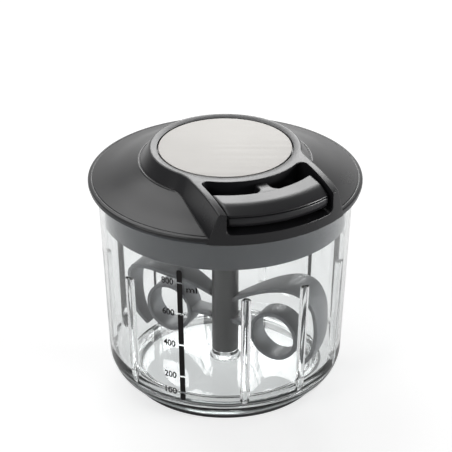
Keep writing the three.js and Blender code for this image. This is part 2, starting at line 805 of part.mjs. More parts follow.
const makeThrustWasher = () => ring(
  sleeveR + runGap,
  washerR,
  bushFlangeTopZ + fitGap,
  washerTopZ,
  midSteps,
);

const makeSpringPlate = () => ring(
  springPlateBoreR,
  chamberR + plateLedge - fitGap,
  ledgeZ + fitGap,
  ledgeZ + fitGap + springPlateThick,
  midSteps,
);

/** Flat spiral strip from the arbor out to the drum's wall. */
function makeRecoilSpring() {
  const innerR = arborR + fitGap;
  const outerR = chamberR - fitGap - springStrip;
  const steps = springTurns * 20;
  const edge = (offset) => Array.from({ length: steps + 1 }, (_, i) => {
    const radius = THREE.MathUtils.lerp(innerR, outerR, i / steps) + offset;
    return polar(radius, (i * 360) / 20);
  });
  const outline = [...edge(springStrip), ...edge(0).reverse()];
  return plate(outline, springLowZ, springLowZ + springWidth);
}

// Cord

/** Round tube along a path, six-sided. */
function tube(path, steps) {
  const section = new THREE.Shape(arc(0, 0, cordR, 0, 2 * Math.PI, 6).slice(0, 6)
    .map(([x, y]) => new THREE.Vector2(x, y)));
  return solid(new THREE.ExtrudeGeometry(section, { steps, extrudePath: path, bevelEnabled: false }));
}

/** Angle where the cord leaves the drum, counted from +X. */
const leaveAngle = -Math.PI / 2 - Math.acos(windR / leadBendAlong);

class Winding extends THREE.Curve {
  getPoint(t, target = new THREE.Vector3()) {
    const angle = leaveAngle - t * windTurns * 2 * Math.PI;
    const z = THREE.MathUtils.lerp(windTopZ, windLowZ, t);
    return target.set(windR * Math.cos(angle), windR * Math.sin(angle), z);
  }
}

/** Least distance between the surfaces of turns that lie half a turn or more apart. */
function leastSelfGap(curve, turns, radius) {
  const points = curve.getPoints(turns * 24);
  let least = Infinity;
  points.forEach((point, i) => {
    for (let j = i + 12; j < points.length; j += 1) least = Math.min(least, point.distanceTo(points[j]));
  });
  return least - 2 * radius;
}

const makeCordWinding = () => tube(new Winding(), windTurns * 24);
console.log(`cord_winding: least gap to itself ${leastSelfGap(new Winding(), windTurns, cordR).toFixed(2)} mm`);

function makeCordLead() {
  const start = new THREE.Vector3(windR * Math.cos(leaveAngle), windR * Math.sin(leaveAngle), cordZ);
  const bend = new THREE.Vector3(0, -leadBendAlong, cordZ);
  const before = bend.clone().sub(start).setLength(leadBendLength).negate().add(bend);
  const after = new THREE.Vector3(0, -leadBendAlong - leadBendLength, cordZ);
  const end = new THREE.Vector3(0, -pocketArcR, cordZ);
  const path = new THREE.CurvePath();
  path.add(new THREE.LineCurve3(start, before));
  path.add(new THREE.QuadraticBezierCurve3(before, bend, after));
  path.add(new THREE.LineCurve3(after, end));
  return tube(path, 16);
}

const alongRod = (radius, near, far) => turnedAlong([[0, near], [radius, near], [radius, far], [0, far]]);

const makePullCord = () => alongRod(cordR, pocketArcR + fitGap, tongueAlong);

function makeCordKnot() {
  const centre = tongueAlong + fitGap + knotR;
  return turnedAlong(arc(0, centre, knotR, -Math.PI / 2, Math.PI / 2, 8)
    .map(([r, along], i) => [i === 0 || i === 8 ? 0 : r, along]));
}

function makeCordEyelet() {
  const wallBack = pocketArcR - pocketWall - fitGap;
  return turnedAlong([
    [eyeletBoreR, wallBack - eyeletFlangeThick],
    [eyeletFlangeR, wallBack - eyeletFlangeThick],
    [eyeletFlangeR, wallBack],
    [eyeletR, wallBack],
    [eyeletR, pocketArcR - fitGap / 2],
    [eyeletBoreR, pocketArcR - fitGap / 2],
  ]);
}

// Grip

/** Plan cutter that gives the grip its parallel ends with eased corners. */
function gripPlan(halfW, low, high) {
  const endBack = Math.sqrt(gripBackR ** 2 - halfW ** 2);
  const endFront = Math.sqrt(gripFrontR ** 2 - halfW ** 2);
  const half = [
    [halfW - gripCorner, -overrun],
    [halfW - gripCorner, endBack],
    [halfW, endBack + gripCorner],
    [halfW, endFront - gripCorner],
    [halfW - gripCorner, endFront + gripCorner / 2],
    [halfW - gripCorner, coverR],
  ];
  return plate([...half, ...half.map(([x, along]) => [-x, along]).reverse()], low, high);
}

/** Stem of the grip, flared where it meets the back edge. */
function stemPlan() {
  const flareAlong = gripBackR - stemFlareR - fitGap;
  const half = [
    [stemHalfW, stemBackAlong],
    ...arc(flareAlong, stemHalfW + stemFlareR, stemFlareR, -Math.PI / 2, 0, 4).map(([along, x]) => [x, along]),
    [stemHalfW + stemFlareR, gripBackR + gripWall / 2],
  ];
  return [...half, ...half.map(([x, along]) => [-x, along]).reverse()];
}

/** Height of the upper shell's outside at a radius. */
function gripOuterZ(radius) {
  const frontZ = gripPartZ + fitGap / 2 + gripFrontRise;
  const share = Math.max(0, radius - gripCreaseR) / (gripFrontR - gripCreaseR);
  return gripTopZ - (gripTopZ - frontZ) * share;
}

const gripPlaces = [-gripScrewW, gripScrewW].map((x) => [x, (gripBackR + gripFrontR) / 2]);
const atGrip = (body, [x, along]) => body.translate([x, -along, 0]);
const padTopZ = gripLowZ + gripScrewHeadH + gripScrewPad + 2 * fitGap;

function makeGripUpper() {
  const lowZ = gripPartZ + fitGap / 2;
  const outside = turned([
    [gripBackR, lowZ],
    [gripBackR, gripTopZ],
    [gripCreaseR, gripTopZ],
    [gripFrontR, gripOuterZ(gripFrontR)],
    [gripFrontR, lowZ],
  ]).intersect(gripPlan(gripHalfW, gripLowZ, gripTopZ + overrun));
  const roofEndR = gripFrontR - 2 * gripWall;
  const inside = turned([
    [tongueAlong, lowZ - overrun],
    [tongueAlong, gripTopZ - gripWall],
    [gripCreaseR, gripTopZ - gripWall],
    [roofEndR, Math.min(gripOuterZ(roofEndR) - gripWall / 2, gripTopZ - gripWall)],
    [roofEndR, lowZ - overrun],
  ]).intersect(gripPlan(gripHalfW - gripWall, gripLowZ, gripTopZ));
  const stemTop = plate(stemPlan(), lowZ, gripTopZ);
  const stemFoot = plate(stemPlan(), stemLowZ, lowZ + fitGap)
    .intersect(rod(gripBackR - fitGap, gripLowZ, gripTopZ, fineSteps));
  const tongue = block(stemHalfW, stemBackAlong, tongueAlong, stemLowZ, lowZ + fitGap);
  const posts = gripPlaces.map((place) => atGrip(rod(gripPostR, padTopZ + fitGap, gripTopZ - gripWall / 2), place)
    .intersect(turned([
      [0, gripLowZ],
      [gripFrontR, gripLowZ],
      [gripFrontR, gripOuterZ(gripFrontR) - gripFrontRise],
      [gripCreaseR, gripTopZ - gripWall / 2],
      [0, gripTopZ - gripWall / 2],
    ])));
  const pilots = gripPlaces.map((place) => atGrip(
    rod(gripScrewR + fitGap, gripLowZ, gripTopZ - gripWall),
    place,
  ));
  const cordBore = alongRod(cordR + fitGap, stemBackAlong - overrun, tongueAlong + overrun);
  return joined([outside.subtract(inside), stemTop, stemFoot, tongue, ...posts])
    .subtract(joined([...pilots, cordBore]));
}

function makeGripLower() {
  const highZ = gripPartZ - fitGap / 2;
  const outside = turned([
    [gripBackR, gripLowZ],
    [gripFrontR - gripBulge, gripLowZ],
    [gripFrontR + gripBulge, (gripLowZ + highZ) / 2],
    [gripFrontR + gripBulge / 2, highZ],
    [gripBackR, highZ],
  ]).intersect(gripPlan(gripHalfW, gripLowZ, gripTopZ));
  const inside = ring(tongueAlong, gripFrontR - gripWall, gripLowZ + gripFloor, gripTopZ)
    .intersect(gripPlan(gripHalfW - gripWall, gripLowZ, gripTopZ));
  const notch = block(stemHalfW + fitGap, stemBackAlong, tongueAlong + fitGap, stemLowZ - fitGap, gripTopZ);
  const pads = gripPlaces.map((place) => atGrip(
    rod(gripScrewHeadR + gripWall / 2, gripLowZ + gripFloor / 2, padTopZ),
    place,
  ));
  const seatZ = padTopZ - gripScrewPad;
  const bores = gripPlaces.flatMap((place) => [
    atGrip(rod(gripScrewR + fitGap, gripLowZ - overrun, gripTopZ), place),
    atGrip(rod(gripScrewHeadR + fitGap, gripLowZ - overrun, seatZ), place),
  ]);
  return joined([outside.subtract(inside).subtract(notch), ...pads]).subtract(joined(bores));
}

function makeGripScrew(place) {
  const seatZ = padTopZ - gripScrewPad - fitGap;
  const length = gripTopZ - gripWall - fitGap - seatZ;
  return atGrip(screw(gripScrewR, gripScrewHeadR, gripScrewHeadH, length, seatZ, true), place);
}

// Finishes

const finishes = {
  clearPlastic: { color: 0xe8ecec, roughness: 0.08, metalness: 0, transparent: true, opacity: 0.3 },
  softBlack: { color: 0x1c1d1f, roughness: 0.8, metalness: 0 },
  coverPlastic: { color: 0x3a3c40, roughness: 0.5, metalness: 0 },
  collarPlastic: { color: 0x55585c, roughness: 0.45, metalness: 0 },
  insertPlastic: { color: 0x5a5c5f, roughness: 0.45, metalness: 0 },
  drumPlastic: { color: 0xd9d8d2, roughness: 0.5, metalness: 0 },
  brushedSteel: { color: 0xd6d4d0, roughness: 0.35, metalness: 1 },
  plainSteel: { color: 0xb4b6b8, roughness: 0.3, metalness: 1 },
  springSteel: { color: 0x6d7278, roughness: 0.35, metalness: 1 },
  brass: { color: 0xb5924c, roughness: 0.35, metalness: 1 },
  cord: { color: 0x2a2a2c, roughness: 0.9, metalness: 0 },
  softGrey: { color: 0x9a9c9e, roughness: 0.8, metalness: 0 },
};

const group = new THREE.Group();

function place(name, body, finish) {
  const mesh = new THREE.Mesh(geometryOf(body), new THREE.MeshStandardMaterial(finishes[finish]));
  mesh.name = name;
  group.add(mesh);
}

place('bowl', makeBowl(), 'clearPlastic');
place('foot_ring', makeFootRing(), 'softBlack');
place('pivot_pin', makePivotPin(), 'plainSteel');
place('mixing_insert', makeMixingInsert(), 'insertPlastic');
place('lid_base', makeLidBase(), 'collarPlastic');
place('lid_seal', makeLidSeal(), 'softGrey');
place('lid_cover', makeLidCover(), 'coverPlastic');
place('disc_plate', makeDiscPlate(), 'brushedSteel');
place('drive_bush', makeDriveBush(), 'brass');
place('thrust_washer', makeThrustWasher(), 'plainSteel');
place('cord_drum', makeCordDrum(), 'drumPlastic');
place('drive_shaft', makeDriveShaft(), 'plainSteel');
place('recoil_spring', makeRecoilSpring(), 'springSteel');
place('spring_plate', makeSpringPlate(), 'plainSteel');
place('spring_arbor', makeSpringArbor(), 'brass');
place('arbor_screw', makeArborScrew(), 'plainSteel');
place('cord_winding', makeCordWinding(), 'cord');
place('cord_lead', makeCordLead(), 'cord');
place('cord_eyelet', makeCordEyelet(), 'plainSteel');
place('pull_cord', makePullCord(), 'cord');
place('cord_knot', makeCordKnot(), 'plainSteel');
place('grip_upper', makeGripUpper(), 'coverPlastic');
place('grip_lower', makeGripLower(), 'coverPlastic');
gripPlaces.forEach((at, i) => place(`grip_screw_${i + 1}`, makeGripScrew(at), 'plainSteel'));
coverPostDegs.forEach((degrees, i) => place(`cover_screw_${i + 1}`, makeCoverScrew(degrees), 'plainSteel'));

export default group;
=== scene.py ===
"""Looks of a pull cord food chopper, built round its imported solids.

The scene is in metres, +Z up, with the base centre at the origin and the grip towards -Y. Sizes in
the classes are in millimetres. A point of a turned outline is a radius and a height, and "along" is
a distance from the axis towards the grip.
"""

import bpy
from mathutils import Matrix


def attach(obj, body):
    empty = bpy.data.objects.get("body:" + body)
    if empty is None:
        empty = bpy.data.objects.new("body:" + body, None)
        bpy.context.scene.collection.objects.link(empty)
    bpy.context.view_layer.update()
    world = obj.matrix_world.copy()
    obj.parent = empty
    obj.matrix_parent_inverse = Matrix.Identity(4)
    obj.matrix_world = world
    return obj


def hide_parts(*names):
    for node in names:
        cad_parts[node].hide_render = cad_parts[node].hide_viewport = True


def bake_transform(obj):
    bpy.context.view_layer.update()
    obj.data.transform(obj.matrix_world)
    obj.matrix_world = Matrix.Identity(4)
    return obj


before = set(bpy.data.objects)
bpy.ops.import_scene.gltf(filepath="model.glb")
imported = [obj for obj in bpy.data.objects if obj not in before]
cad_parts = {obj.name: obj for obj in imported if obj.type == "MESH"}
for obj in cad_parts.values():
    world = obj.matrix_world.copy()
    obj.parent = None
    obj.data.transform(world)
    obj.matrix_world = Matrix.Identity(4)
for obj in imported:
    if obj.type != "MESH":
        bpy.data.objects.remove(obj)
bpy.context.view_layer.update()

import logging
import math
from collections.abc import Iterator, Sequence
from contextlib import contextmanager
from dataclasses import dataclass
from enum import Enum

import bmesh
import bpy
from mathutils import Matrix, Vector

log = logging.getLogger("chopper")

MM = 0.001
TAU = 2 * math.pi
SAME_POINT = 1e-7
CRISP_DEG = 32.0
ORIGIN = (0.0, 0.0, 0.0)
WHITE = (1.0, 1.0, 1.0, 1.0)

Point2 = tuple[float, float]
Point3 = tuple[float, float, float]
Colour = tuple[float, float, float, float]
Piece = bpy.types.Object
Mesh = bmesh.types.BMesh
Socket = bpy.types.NodeSocket


class Join(Enum):
    """How two closed shapes are put together."""

    UNION = "UNION"
    CUT = "DIFFERENCE"
    COMMON = "INTERSECT"


class Body(Enum):
    """The moving bodies that pieces ride on."""

    VESSEL = "vessel"
    LID = "lid"
    HANDLE = "handle"
    DRUM = "drum"
    INSERT = "insert"


# --- Plane geometry, in millimetres ---


def arc(centre: Point2, radius: float, start: float, stop: float, steps: int) -> list[Point2]:
    """Points of an arc.

    Args:
        centre: Centre of the arc.
        radius: Its radius.
        start: First angle in radians.
        stop: Last angle in radians.
        steps: How many steps lie between them.

    Returns:
        The points, both ends included.
    """
    turn = [start + (stop - start) * i / steps for i in range(steps + 1)]
    return [(centre[0] + radius * math.cos(a), centre[1] + radius * math.sin(a)) for a in turn]


def bow(start: Vector, knee: Vector, stop: Vector, t: float) -> Vector:
    """Point at a share t of a curve that leaves start towards knee and comes to stop from it."""
    return start * (1 - t) ** 2 + knee * 2 * t * (1 - t) + stop * t ** 2


def eased(corners: Sequence[Point3], closed: bool = False, steps: int = 4) -> list[Point2]:
    """Rounds the corners of an outline.

    Args:
        corners: Each corner with the radius that rounds it, zero for a sharp one.
        closed: Whether the last corner runs on to the first.
        steps: How many steps each rounding takes.

    Returns:
        The outline's points.
    """
    count = len(corners)
    points: list[Point2] = []
    for i, (x, y, radius) in enumerate(corners):
        here = Vector((x, y))
        end = not closed and i in (0, count - 1)
        if radius <= 0 or end:
            points.append((x, y))
            continue
        before = Vector(corners[i - 1][:2]) - here
        after = Vector(corners[(i + 1) % count][:2]) - here
        half = before.angle(after) / 2
        reach = min(radius / math.tan(half), before.length * 0.49, after.length * 0.49)
        start = here + before.normalized() * reach
        stop = here + after.normalized() * reach
        points += [tuple(bow(start, here, stop, k / steps)) for k in range(steps + 1)]
    return points


def box_outline(x: Point2, y: Point2, ease: float, steps: int = 3) -> list[Point2]:
    """Outline of a rectangle between two values of x and of y, with rounded corners."""
    corners = [(x[0], y[0], ease), (x[1], y[0], ease), (x[1], y[1], ease), (x[0], y[1], ease)]
    return eased(corners, closed=True, steps=steps)


def disc_outline(radius: float, z: Point2, ease: Point2, steps: int) -> list[Point2]:
    """Outline of a turned disc or rod between two heights, each edge with its own rounding."""
    return eased([(0, z[0], 0), (radius, z[0], ease[0]), (radius, z[1], ease[1]), (0, z[1], 0)], steps=steps)


def other_side(half: Sequence[Point2]) -> list[Point2]:
    """Mirror image of half an outline, from its last point back to its first."""
    return [(-x, y) for x, y in reversed(half)]


def smooth_run(points: Sequence[Sequence[float]], steps: int) -> list[tuple[float, ...]]:
    """A smooth run through points, each with any number of coordinates.

    Args:
        points: The points that the run goes through.
        steps: How many steps lie between two neighbours.

    Returns:
        The points of the run.
    """
    out: list[tuple[float, ...]] = []
    last = len(points) - 1
    for i in range(last):
        around = [points[min(max(k, 0), last)] for k in range(i - 1, i + 3)]
        for k in range(steps):
            t = k / steps
            out.append(tuple(
                0.5 * (2 * b + (c - a) * t + (2 * a - 5 * b + 4 * c - d) * t ** 2
                       + (3 * b - a - 3 * c + d) * t ** 3)
                for a, b, c, d in zip(*around)
            ))
    out.append(tuple(points[-1]))
    return out


def round_place(radius: float, degrees: float) -> Point2:
    """Place at a radius and an angle counted from the grip."""
    return (radius * math.sin(math.radians(degrees)), -radius * math.cos(math.radians(degrees)))


def way_at(path: Sequence[Vector], i: int) -> Vector:
    """Direction of a path at one of its points, between the point's neighbours."""
    return (path[min(i + 1, len(path) - 1)] - path[max(i - 1, 0)]).normalized()


def hexagon(across: float, ease: float) -> list[Point2]:
    """Outline of a hexagon with a corner towards the grip, by its width across flats."""
    corners = [round_place(across / 2 / math.cos(math.pi / 6), 60 * k) for k in range(6)]
    return eased([(x, y, ease) for x, y in corners], closed=True, steps=3)


# --- Mesh making ---


def placed(name: str, bm: Mesh) -> Piece:
    """Puts a bmesh into the scene as an object at the origin.

    Args:
        name: Name of the piece.
        bm: The bmesh. It is freed.

    Returns:
        The new object.
    """
    mesh = bpy.data.meshes.new(name)
    bm.to_mesh(mesh)
    bm.free()
    piece = bpy.data.objects.new(name, mesh)
    bpy.context.scene.collection.objects.link(piece)
    return piece


@contextmanager
def edited(piece: Piece) -> Iterator[Mesh]:
    """Opens the mesh of a piece for changes and writes them back.

    Args:
        piece: The piece.

    Yields:
        Its mesh as a bmesh.
    """
    bm = bmesh.new()
    bm.from_mesh(piece.data)
    yield bm
    bm.to_mesh(piece.data)
    bm.free()


def shade(piece: Piece, sharp_deg: float = CRISP_DEG) -> Piece:
    """Shades a piece smooth, with crisp edges where faces turn more than an angle.

    Args:
        piece: The piece.
        sharp_deg: The angle in degrees.

    Returns:
        The piece.
    """
    limit = math.radians(sharp_deg)
    with edited(piece) as bm:
        for face in bm.faces:
            face.smooth = True
        for edge in bm.edges:
            edge.smooth = len(edge.link_faces) == 2 and edge.calc_face_angle(0) < limit
    return piece


def finish_mesh(bm: Mesh, name: str, sharp_deg: float = CRISP_DEG) -> Piece:
    """Closes a bmesh into a shaded object at the origin.

    Args:
        bm: The bmesh, in metres. It is freed.
        name: Name of the piece.
        sharp_deg: Edges that turn more than this stay crisp.

    Returns:
        The new object.
    """
    bmesh.ops.remove_doubles(bm, verts=bm.verts, dist=SAME_POINT)
    bmesh.ops.recalc_face_normals(bm, faces=bm.faces)
    return shade(placed(name, bm), sharp_deg)


def remade(piece: Piece) -> Mesh:
    """Takes an object apart into a bmesh and removes it.

    Args:
        piece: The object.

    Returns:
        Its mesh as a bmesh.
    """
    bm = bmesh.new()
    bm.from_mesh(piece.data)
    bpy.data.objects.remove(piece)
    return bm


def cleaned(piece: Piece, reach: float = 0.004) -> Piece:
    """Merges points that lie close together, and drops faces without area.

    Args:
        piece: The piece.
        reach: How close, in millimetres.

    Returns:
        The piece.
    """
    with edited(piece) as bm:
        bmesh.ops.remove_doubles(bm, verts=bm.verts, dist=reach * MM)
        bmesh.ops.dissolve_degenerate(bm, edges=bm.edges, dist=reach * MM)
    return piece


def moved(piece: Piece, degrees: float = 0.0, axis: str = "Z", by: Sequence[float] = (0, 0, 0)) -> Piece:
    """Turns the mesh of a piece about an axis through the origin, then moves it.

    Args:
        piece: The piece.
        degrees: The turn.
        axis: The axis, X, Y or Z.
        by: The move in millimetres.

    Returns:
        The piece.
    """
    turn = Matrix.Rotation(math.radians(degrees), 3, axis)
    with edited(piece) as bm:
        bmesh.ops.rotate(bm, verts=bm.verts, cent=(0, 0, 0), matrix=turn)
        bmesh.ops.translate(bm, verts=bm.verts, vec=Vector(by) * MM)
    return piece


def along_cord(piece: Piece, height: float) -> Piece:
    """Lays a turned piece down on the cord: its height becomes distance towards the grip."""
    return moved(piece, 90, "X", (0, 0, height))


def combine(piece: Piece, how: Join, *tools: Piece) -> Piece:
    """Joins, cuts or intersects a piece with tools, one after another.

    Args:
        piece: The closed shape that stays.
        how: What is done.
        *tools: The closed shapes that are used up.

    Returns:
        The piece.
    """
    for tool in tools:
        step = piece.modifiers.new("combine", "BOOLEAN")
        step.operation = how.value
        step.solver = "MANIFOLD"
        step.object = tool
        graph = bpy.context.evaluated_depsgraph_get()
        mesh = bpy.data.meshes.new_from_object(piece.evaluated_get(graph))
        piece.modifiers.clear()
        piece.data = mesh
        mesh.name = piece.name
        bpy.data.objects.remove(tool)
    return piece


def merged(name: str, parts: Sequence[Piece]) -> Piece:
    """Puts the meshes of several objects into one, without joining their faces.

    Args:
        name: Name of the new piece.
        parts: The objects, which are used up.

    Returns:
        The new object.
    """
    bm = bmesh.new()
    for part in parts:
        bm.from_mesh(part.data)
        bpy.data.objects.remove(part)
    return placed(name, bm)


def spun(name: str, outline: Sequence[Point2], steps: int = 144) -> Piece:
    """Turns an outline of radius and height round Z.

    Args:
        name: Name of the piece.
        outline: Points in millimetres, from the axis back to the axis, or else a closed loop.
        steps: Steps in a full turn.

    Returns:
        The new object.
    """
    bm = bmesh.new()
    verts = [bm.verts.new((r * MM, 0, z * MM)) for r, z in outline]
    pairs = list(zip(verts, verts[1:])) + ([(verts[-1], verts[0])] if outline[0][0] > 0 else [])
    edges = [bm.edges.new(pair) for pair in pairs]
    bmesh.ops.spin(bm, geom=verts + edges, cent=(0, 0, 0), axis=(0, 0, 1), angle=TAU, steps=steps,
                   use_merge=True, use_duplicate=False)
    bmesh.ops.remove_doubles(bm, verts=bm.verts, dist=SAME_POINT)
    return finish_mesh(bm, name)


def rod(name: str, radius: float, low: float, high: float, place: Point2 = (0, 0), steps: int = 48) -> Piece:
    """Makes an upright rod.

    Args:
        name: Name of the piece.
        radius: Its radius.
        low: Height of its lower end.
        high: Height of its upper end.
        place: Where its axis stands.
        steps: Number of its sides.

    Returns:
        The new object.
    """
    bm = bmesh.new()
    bmesh.ops.create_cone(bm, cap_ends=True, segments=steps, radius1=radius * MM, radius2=radius * MM,
                          depth=(high - low) * MM)
    bmesh.ops.translate(bm, verts=bm.verts, vec=Vector((*place, (low + high) / 2)) * MM)
    return finish_mesh(bm, name)


def lofted(name: str, loops: Sequence[Sequence[Vector]], strips: bool = False) -> Piece:
    """Skins loops of points and caps both ends.

    Args:
        name: Name of the piece.
        loops: Loops of equal counts, in millimetres.
        strips: Whether the caps are strips between opposite points, for ends that aren't flat.

    Returns:
        The new object.
    """
    bm = bmesh.new()
    rings = [[bm.verts.new(point * MM) for point in loop] for loop in loops]
    count = len(rings[0])
    for low, high in zip(rings, rings[1:]):
        for i in range(count):
            k = (i + 1) % count
            bm.faces.new((low[i], low[k], high[k], high[i]))
    for ring in (rings[0], rings[-1]):
        if not strips:
            bm.faces.new(ring)
            continue
        for i in range(count // 2 - 1):
            bm.faces.new((ring[i], ring[i + 1], ring[count - 2 - i], ring[count - 1 - i]))
    return finish_mesh(bm, name)


def bevelled(bm: Mesh, edges: Sequence[bmesh.types.BMEdge], offset: float, segments: int) -> None:
    """Rounds edges of a bmesh.

    Args:
        bm: The bmesh, in metres.
        edges: The edges.
        offset: Width of the rounding in millimetres.
        segments: How many faces it takes.
    """
    bmesh.ops.bevel(bm, geom=edges, offset=offset * MM, offset_type="OFFSET", affect="EDGES",
                    segments=segments, profile=0.5, material=-1)


def eased_block(name: str, x: Point2, along: Point2, z: Point2, ease: float = 0.0) -> Piece:
    """Makes a block with rounded edges.

    Args:
        name: Name of the piece.
        x: Its two sides.
        along: Its near and far end, counted towards the grip.
        z: Its underside and top.
        ease: Width of the rounding, zero for none.

    Returns:
        The piece.
    """
    bm = bmesh.new()
    bmesh.ops.create_cube(bm, size=MM)
    bmesh.ops.scale(bm, verts=bm.verts, vec=Vector((x[1] - x[0], along[1] - along[0], z[1] - z[0])))
    bmesh.ops.translate(bm, verts=bm.verts, vec=Vector((sum(x), -sum(along), sum(z))) * MM / 2)
    if ease > 0:
        bevelled(bm, bm.edges[:], ease, 3)
    return finish_mesh(bm, name)


def raised_face(points: Sequence[Vector], height: float) -> Mesh:
    """Raises a flat face straight up.

    Args:
        points: Corners of the face.
        height: How far it is raised, in the unit of the points.

    Returns:
        The closed shape as a bmesh.
    """
    bm = bmesh.new()
    face = bm.faces.new([bm.verts.new(point) for point in points])
    raised = bmesh.ops.extrude_face_region(bm, geom=[face], use_keep_orig=True)["geom"]
    top = [vert for vert in raised if isinstance(vert, bmesh.types.BMVert)]
    bmesh.ops.translate(bm, verts=top, vec=(0, 0, height))
    return bm


def extruded(name: str, outline: Sequence[Point2], low: float, high: float) -> Piece:
    """Raises a closed plan outline, in millimetres, between two heights."""
    points = [Vector((x, y, low)) * MM for x, y in outline]
    return finish_mesh(raised_face(points, (high - low) * MM), name)


# --- Node trees ---


class Nodes:
    """Adds nodes to a tree and joins them."""

    def __init__(self, tree: bpy.types.NodeTree) -> None:
        """Keeps the tree that the nodes go into."""
        self.tree = tree

    def join(self, value: object, socket: Socket) -> None:
        """Gives a socket a value, or joins it where the value is an output.

        Args:
            value: The value or output.
            socket: The input that takes it.
        """
        if isinstance(value, Socket):
            self.tree.links.new(value, socket)
        else:
            socket.default_value = value

    def add(self, kind: str, inputs: dict[str | int, object] | None = None,
            **settings: object) -> bpy.types.Node:
        """Adds a node.

        Args:
            kind: Blender's name of the node type.
            inputs: Socket by name or number, with a value or an output to join.
            **settings: The node's own settings.

        Returns:
            The node.
        """
        node = self.tree.nodes.new(kind)
        for key, value in settings.items():
            setattr(node, key, value)
        for key, value in (inputs or {}).items():
            self.join(value, node.inputs[key])
        return node

    def calc(self, how: str, first: object, second: object = 0.0) -> Socket:
        """Works on two values or outputs and returns the result."""
        return self.add("ShaderNodeMath", {0: first, 1: second}, operation=how).outputs[0]

    def plus(self, first: object, second: object) -> Socket:
        """Adds two values or outputs."""
        return self.calc("ADD", first, second)

    def times(self, first: object, second: object) -> Socket:
        """Multiplies two values or outputs."""
        return self.calc("MULTIPLY", first, second)

    def centred(self, value: object) -> Socket:
        """Shifts a value of 0 to 1 so that its middle is zero."""
        return self.calc("SUBTRACT", value, 0.5)

    def spread(self, value: object, low: float, high: float, start: float = 0.0, stop: float = 1.0) -> Socket:
        """Maps start..stop of a value to low..high and returns the output."""
        ends = {"From Min": start, "From Max": stop, "To Min": low, "To Max": high}
        return self.add("ShaderNodeMapRange", {"Value": value, **ends}).outputs[0]

    def noise(self, place: Socket, scale: object, detail: float, roughness: float = 0.5) -> Socket:
        """Adds a noise pattern and returns its level."""
        inputs = {"Vector": place, "Scale": scale, "Detail": detail, "Roughness": roughness}
        return self.add("ShaderNodeTexNoise", inputs).outputs["Fac"]

    def from_axis(self, parts: bpy.types.NodeOutputs) -> Socket:
        """Distance from the upright axis, for coordinates split into their parts."""
        squares = [self.times(parts[k], parts[k]) for k in range(2)]
        return self.calc("SQRT", self.plus(*squares))

    def parts(self, place: Socket) -> bpy.types.NodeOutputs:
        """Splits coordinates into x, y and z."""
        return self.add("ShaderNodeSeparateXYZ", {0: place}).outputs

    def mixed(self, share: Socket, first: Colour, second: Colour) -> Socket:
        """Mixes two colours by a share and returns the result."""
        inputs = {"Factor": share, "A": first, "B": second}
        return self.add("ShaderNodeMix", inputs, data_type="RGBA").outputs["Result"]

    def ahead(self, place: Socket, way: Point3) -> Socket:
        """How far a direction or place lies along a way."""
        return self.add("ShaderNodeVectorMath", {0: place, 1: way}, operation="DOT_PRODUCT").outputs["Value"]

    def seen(self, mirrored: Socket) -> Socket:
        """One where the camera looks straight or through clear plastic, and a share in mirrored light.

        Args:
            mirrored: The share in mirrored light.

        Returns:
            The output.
        """
        path = self.add("ShaderNodeLightPath").outputs
        clear = self.calc("MAXIMUM", path["Is Camera Ray"], path["Is Transmission Ray"])
        return self.calc("MAXIMUM", clear, self.times(path["Is Glossy Ray"], mirrored))


class Effect:
    """A shared effect: a node group with named sockets."""

    def __init__(self, name: str, inputs: dict[str, object],
                 outputs: Sequence[str] = ("Height", "Roughness", "Shade")) -> None:
        """Makes the empty group.

        Args:
            name: Name of the group.
            inputs: Socket names with their standard value; three numbers are a vector, four a colour.
            outputs: Socket names; Color is a colour, the others are numbers.
        """
        self.tree = bpy.data.node_groups.new(name, "ShaderNodeTree")
        kinds = {3: "NodeSocketVector", 4: "NodeSocketColor"}
        for key, value in inputs.items():
            kind = kinds.get(len(value) if isinstance(value, tuple) else 1, "NodeSocketFloat")
            self.tree.interface.new_socket(key, in_out="INPUT", socket_type=kind).default_value = value
        for key in outputs:
            kind = "NodeSocketColor" if key == "Color" else "NodeSocketFloat"
            self.tree.interface.new_socket(key, in_out="OUTPUT", socket_type=kind)
        self.nodes = Nodes(self.tree)
        self.given = self.tree.nodes.new("NodeGroupInput").outputs
        self.result = self.tree.nodes.new("NodeGroupOutput").inputs

    def roughness(self, centred: Socket, strength: float) -> Socket:
        """The given roughness, varied by a centred pattern, the given spread and a strength."""
        spread = self.nodes.times(self.given["Spread"], strength)
        return self.nodes.plus(self.given["Roughness"], self.nodes.times(centred, spread))

    def give(self, **outputs: Socket) -> bpy.types.NodeTree:
        """Joins outputs of nodes to the group's own outputs.

        Args:
            **outputs: The output that each of the group's outputs gives.

        Returns:
            The finished group.
        """
        for key, socket in outputs.items():
            self.tree.links.new(socket, self.result[key])
        return self.tree


def mould_grain() -> bpy.types.NodeTree:
    """Fine grain of a moulded surface, and patches where hands have polished it.

    Returns:
        The node group.
    """
    effect = Effect("mould_grain", {"Vector": ORIGIN, "Grain": 2500.0, "Patches": 26.0,
                                    "Roughness": 0.45, "Spread": 0.06})
    nodes, given = effect.nodes, effect.given
    grain = nodes.noise(given["Vector"], given["Grain"], 2.0, 0.6)
    patches = nodes.centred(nodes.noise(given["Vector"], given["Patches"], 4.0, 0.55))
    shade_of = nodes.plus(nodes.times(patches, 0.5), nodes.times(nodes.centred(grain), 0.25))
    return effect.give(Height=grain, Roughness=effect.roughness(patches, 4.0), Shade=shade_of)


def tinted() -> bpy.types.NodeTree:
    """A colour that a shade makes lighter or darker.

    Returns:
        The node group.
    """
    effect = Effect("tinted", {"Color": (0.5, 0.5, 0.5, 1.0), "Shade": 0.0, "Amount": 0.3}, ("Color",))
    nodes, given = effect.nodes, effect.given
    value = nodes.plus(1.0, nodes.times(given["Shade"], given["Amount"]))
    colour = nodes.add("ShaderNodeHueSaturation", {"Value": value, "Color": given["Color"]})
    return effect.give(Color=colour.outputs["Color"])


